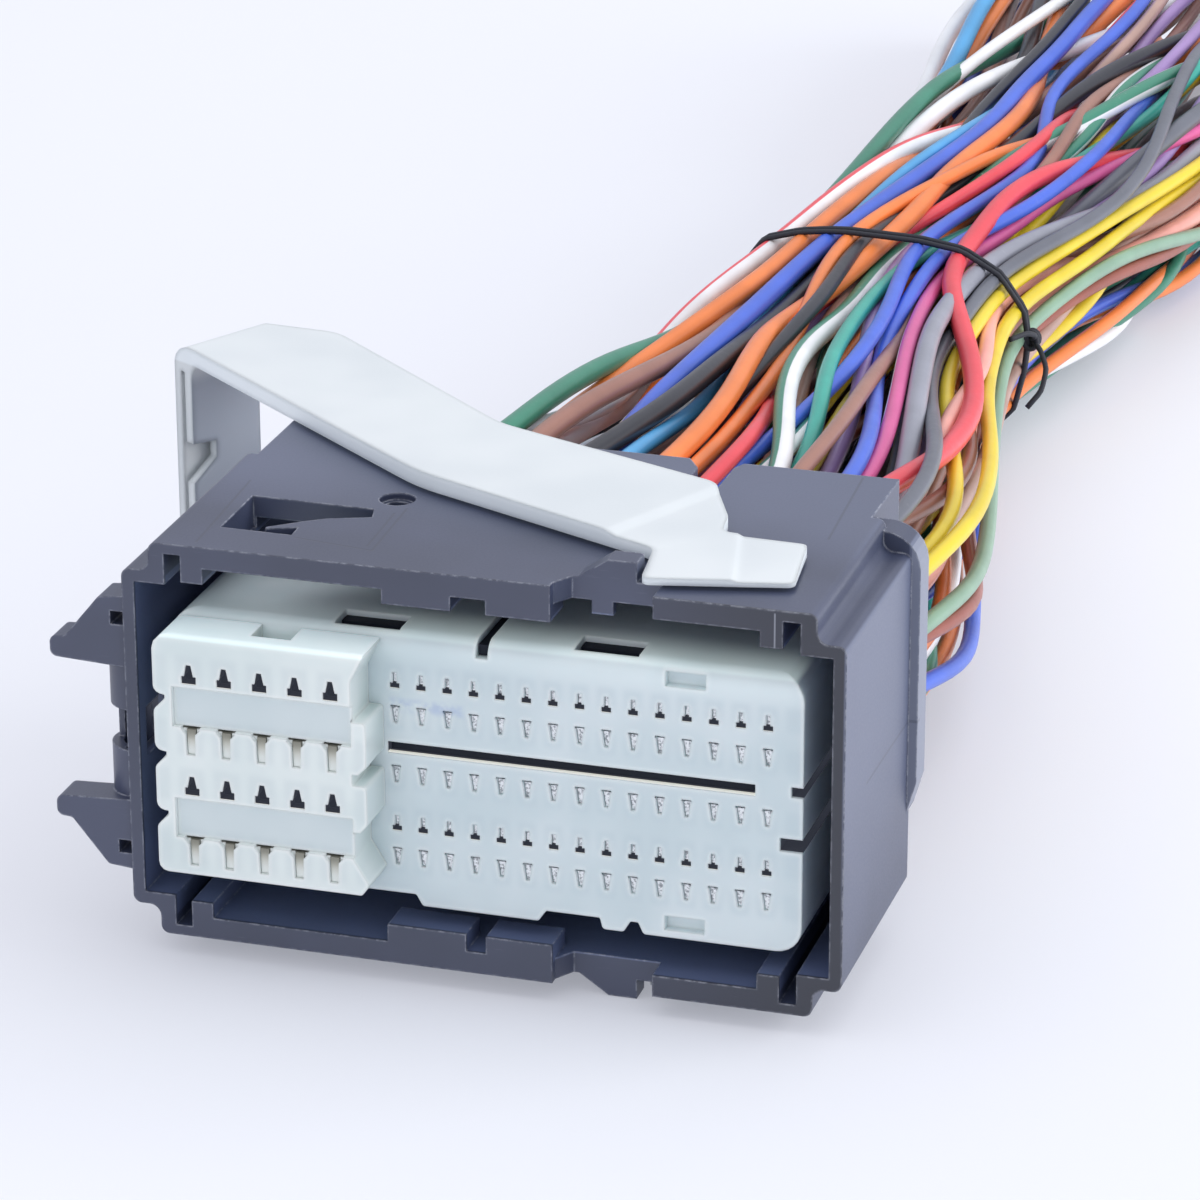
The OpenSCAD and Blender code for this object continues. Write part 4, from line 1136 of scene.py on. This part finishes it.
def power_tin_finish():
    """Dull tin with a warm cast, with painted shade under the cap and behind its wall, painted light at the
    foot, and a dim painted glow behind the wall.
    """
    finish = Finish("power_tin", metallic=0.1, emission_strength=1.0)
    ripple = finish.noise(0.5)
    height = finish.coordinate("Z")
    behind = (finish.coordinate("Y") - CAP_FACE).step(*POWER_DARK)
    under = 0.0
    foot = 0.0
    for row in POWER_SHOWN:
        off = height - POWER_Z[row]
        under = 1 - abs(off - POWER_UNDER).step(*POWER_UNDER_FADE) + under
        foot = 1 - abs(off - POWER_FOOT).step(*POWER_FOOT_FADE) + foot
    shade = finish.mix(ripple, colour("b7b5a6"), colour("cac8ba"))
    shade = tinted(finish, shade, power_under_cap=under, power_foot=foot, power_behind=behind)
    glow = tinted(finish, NO_GLOW, opening_glow=behind)
    return finish.surface(shade, ripple, roughness=(0.4, 0.2), relief=(0.2, 0.06), glow=glow)


def lock_finish():
    """Dark plastic of the comb inside the block, whose darkness also stands in for the shade down the long
    slot.
    """
    finish = Finish("lock_plastic", specular_ior_level=0.1)
    cloud = finish.noise(3.0)
    shade = finish.mix(cloud, colour("23262f"), colour("2c303a"))
    return finish.surface(shade, cloud, roughness=(0.5, 0.1), relief=(0.1, 0.05))


# Dressing the pieces of the frame

# Right side of the cap's face, what stays of its tabs' reach, and the height that they lie above
CAP_SIDE = -10.9
TAB_SHARE = 0.5
TAB_FOOT = POWER_Z[3] + 1.0
# Hook of the upper arm: where it starts to thin, over what length, how its tip moves, its least thickness
HOOK_BACK = 9.0
HOOK_FADE = 7.0
HOOK_SHIFT = (-0.6, 3.0, -0.6)
HOOK_LEAST = 0.35
ARM_FOOT = HOUSING_TOP + 0.4
ARM_MIDDLE = ARM_FOOT + 0.1
TOUCH = 0.01


def dress(start, material):
    """Gives one material to the nodes of the frame whose names start so."""
    for name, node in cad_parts.items():
        if name.startswith(start):
            node.data.materials.clear()
            node.data.materials.append(material)


def recast(node, name, body, reshape):
    """A copy of a CAD node, with some of its points moved, that is shown in its place."""
    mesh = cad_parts[node].data.copy()
    flat = np.empty(len(mesh.vertices) * 3)
    mesh.vertices.foreach_get("co", flat)
    spots = (flat.reshape(-1, 3) - RIM) / MM
    mesh.vertices.foreach_set("co", place(reshape(spots)).ravel())
    mesh.update()
    piece = add_object(name, mesh)
    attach(piece, body)
    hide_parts(node)


def draw_in_tabs(spots):
    """The cap's side tabs end left of the first signal column."""
    out = np.clip(spots[:, 0] - CAP_SIDE, 0, None) * (spots[:, 2] > TAB_FOOT)
    spots[:, 0] -= out * (1 - TAB_SHARE)
    return spots


def thin_hook(spots):
    """The upper arm's hook thins out and ends behind the housing's rim."""
    upper = spots[:, 2] > ARM_FOOT - TOUCH
    share = ease((HOOK_BACK - spots[:, 1]) / HOOK_FADE) * upper
    top = spots[:, 2] > ARM_MIDDLE
    spots[:, :2] += share[:, None] * HOOK_SHIFT[:2]
    lowered = np.maximum(spots[:, 2] + share * HOOK_SHIFT[2], ARM_FOOT + HOOK_LEAST)
    spots[:, 2] = np.where(top & (share > 0), lowered, spots[:, 2])
    return spots


dress("outer_housing", housing_finish())
dress("contact_block", block_finish())
dress("power_cap", cap_finish())
dress("lever", lever_finish())
dress("terminal_lock", lock_finish())
dress("signal_terminals", signal_tin_finish())
dress("power_terminals", power_tin_finish())
recast("power_cap", "power_cap_face", "connector", draw_in_tabs)
recast("lever", "lever_arm", "lever", thin_hook)


# Studio

# The paper lies this far under the housing, in millimetres, and is this wide, in metres
FLOOR_DROP = 2.0
FLOOR_SIZE = 6.0
FLOOR_GLOW = 0.34
TENT_COLOUR = (0.89, 0.91, 1.0, 1.0)
TENT_STRENGTH = 0.68
# Soft lights: name, place, what they shine on, width and height in metres, and power in watts
LIGHTS = (
    ("top_softbox", (-60, 260, 900), (0, 80, 10), (1.6, 1.6), 5.6),
    ("side_softbox", (900, 300, 350), (20, 40, 20), (0.8, 0.8), 8.0),
    ("front_softbox", (-200, -900, 450), (0, 0, 15), (1.0, 0.8), 1.5),
)


def floor_finish():
    """Smooth white paper that light comes through."""
    finish = Finish("light_table", specular_ior_level=0.25, emission_strength=FLOOR_GLOW)
    cloud = finish.noise(120.0, detail=2.0)
    shade = finish.mix(cloud, colour("bfc0c5"), colour("c2c3c8"))
    glow = finish.mix(cloud, colour("eef1fc"), colour("f0f3fd"))
    return finish.feed(base_color=shade, roughness=0.55 + cloud * 0.1, emission_color=glow)


def make_floor():
    """The sheet of paper that the connector lies on."""
    half = FLOOR_SIZE / 2 / MM
    corners = [(x, y, -FLOOR_DROP) for x, y in ((-half, -half), (half, -half), (half, half), (-half, half))]
    add_mesh("paper_floor", corners, [(0, 1, 2, 3)], [floor_finish()], smooth=False)


def soft_light(name, spot, target, size, power):
    """A white softbox that looks from one place to another."""
    data = bpy.data.lights.new(name, "AREA")
    data.shape = "RECTANGLE"
    data.size, data.size_y = size
    data.energy = power
    light = add_object(name, data)
    light.location = place(spot)
    aim = place(target) - place(spot)
    flat = math.hypot(aim[0], aim[1])
    light.rotation_euler = (math.atan2(flat, -aim[2]), 0, math.atan2(aim[1], aim[0]) - math.pi / 2)


def make_light():
    """Even light from all round, and the softboxes."""
    world = bpy.data.worlds.new("white_tent")
    world.use_nodes = True
    back = world.node_tree.nodes["Background"]
    back.inputs["Color"].default_value = TENT_COLOUR
    back.inputs["Strength"].default_value = TENT_STRENGTH
    bpy.context.scene.world = world
    for light in LIGHTS:
        soft_light(*light)
    bpy.context.scene.view_settings.view_transform = "Standard"


make_floor()
make_light()
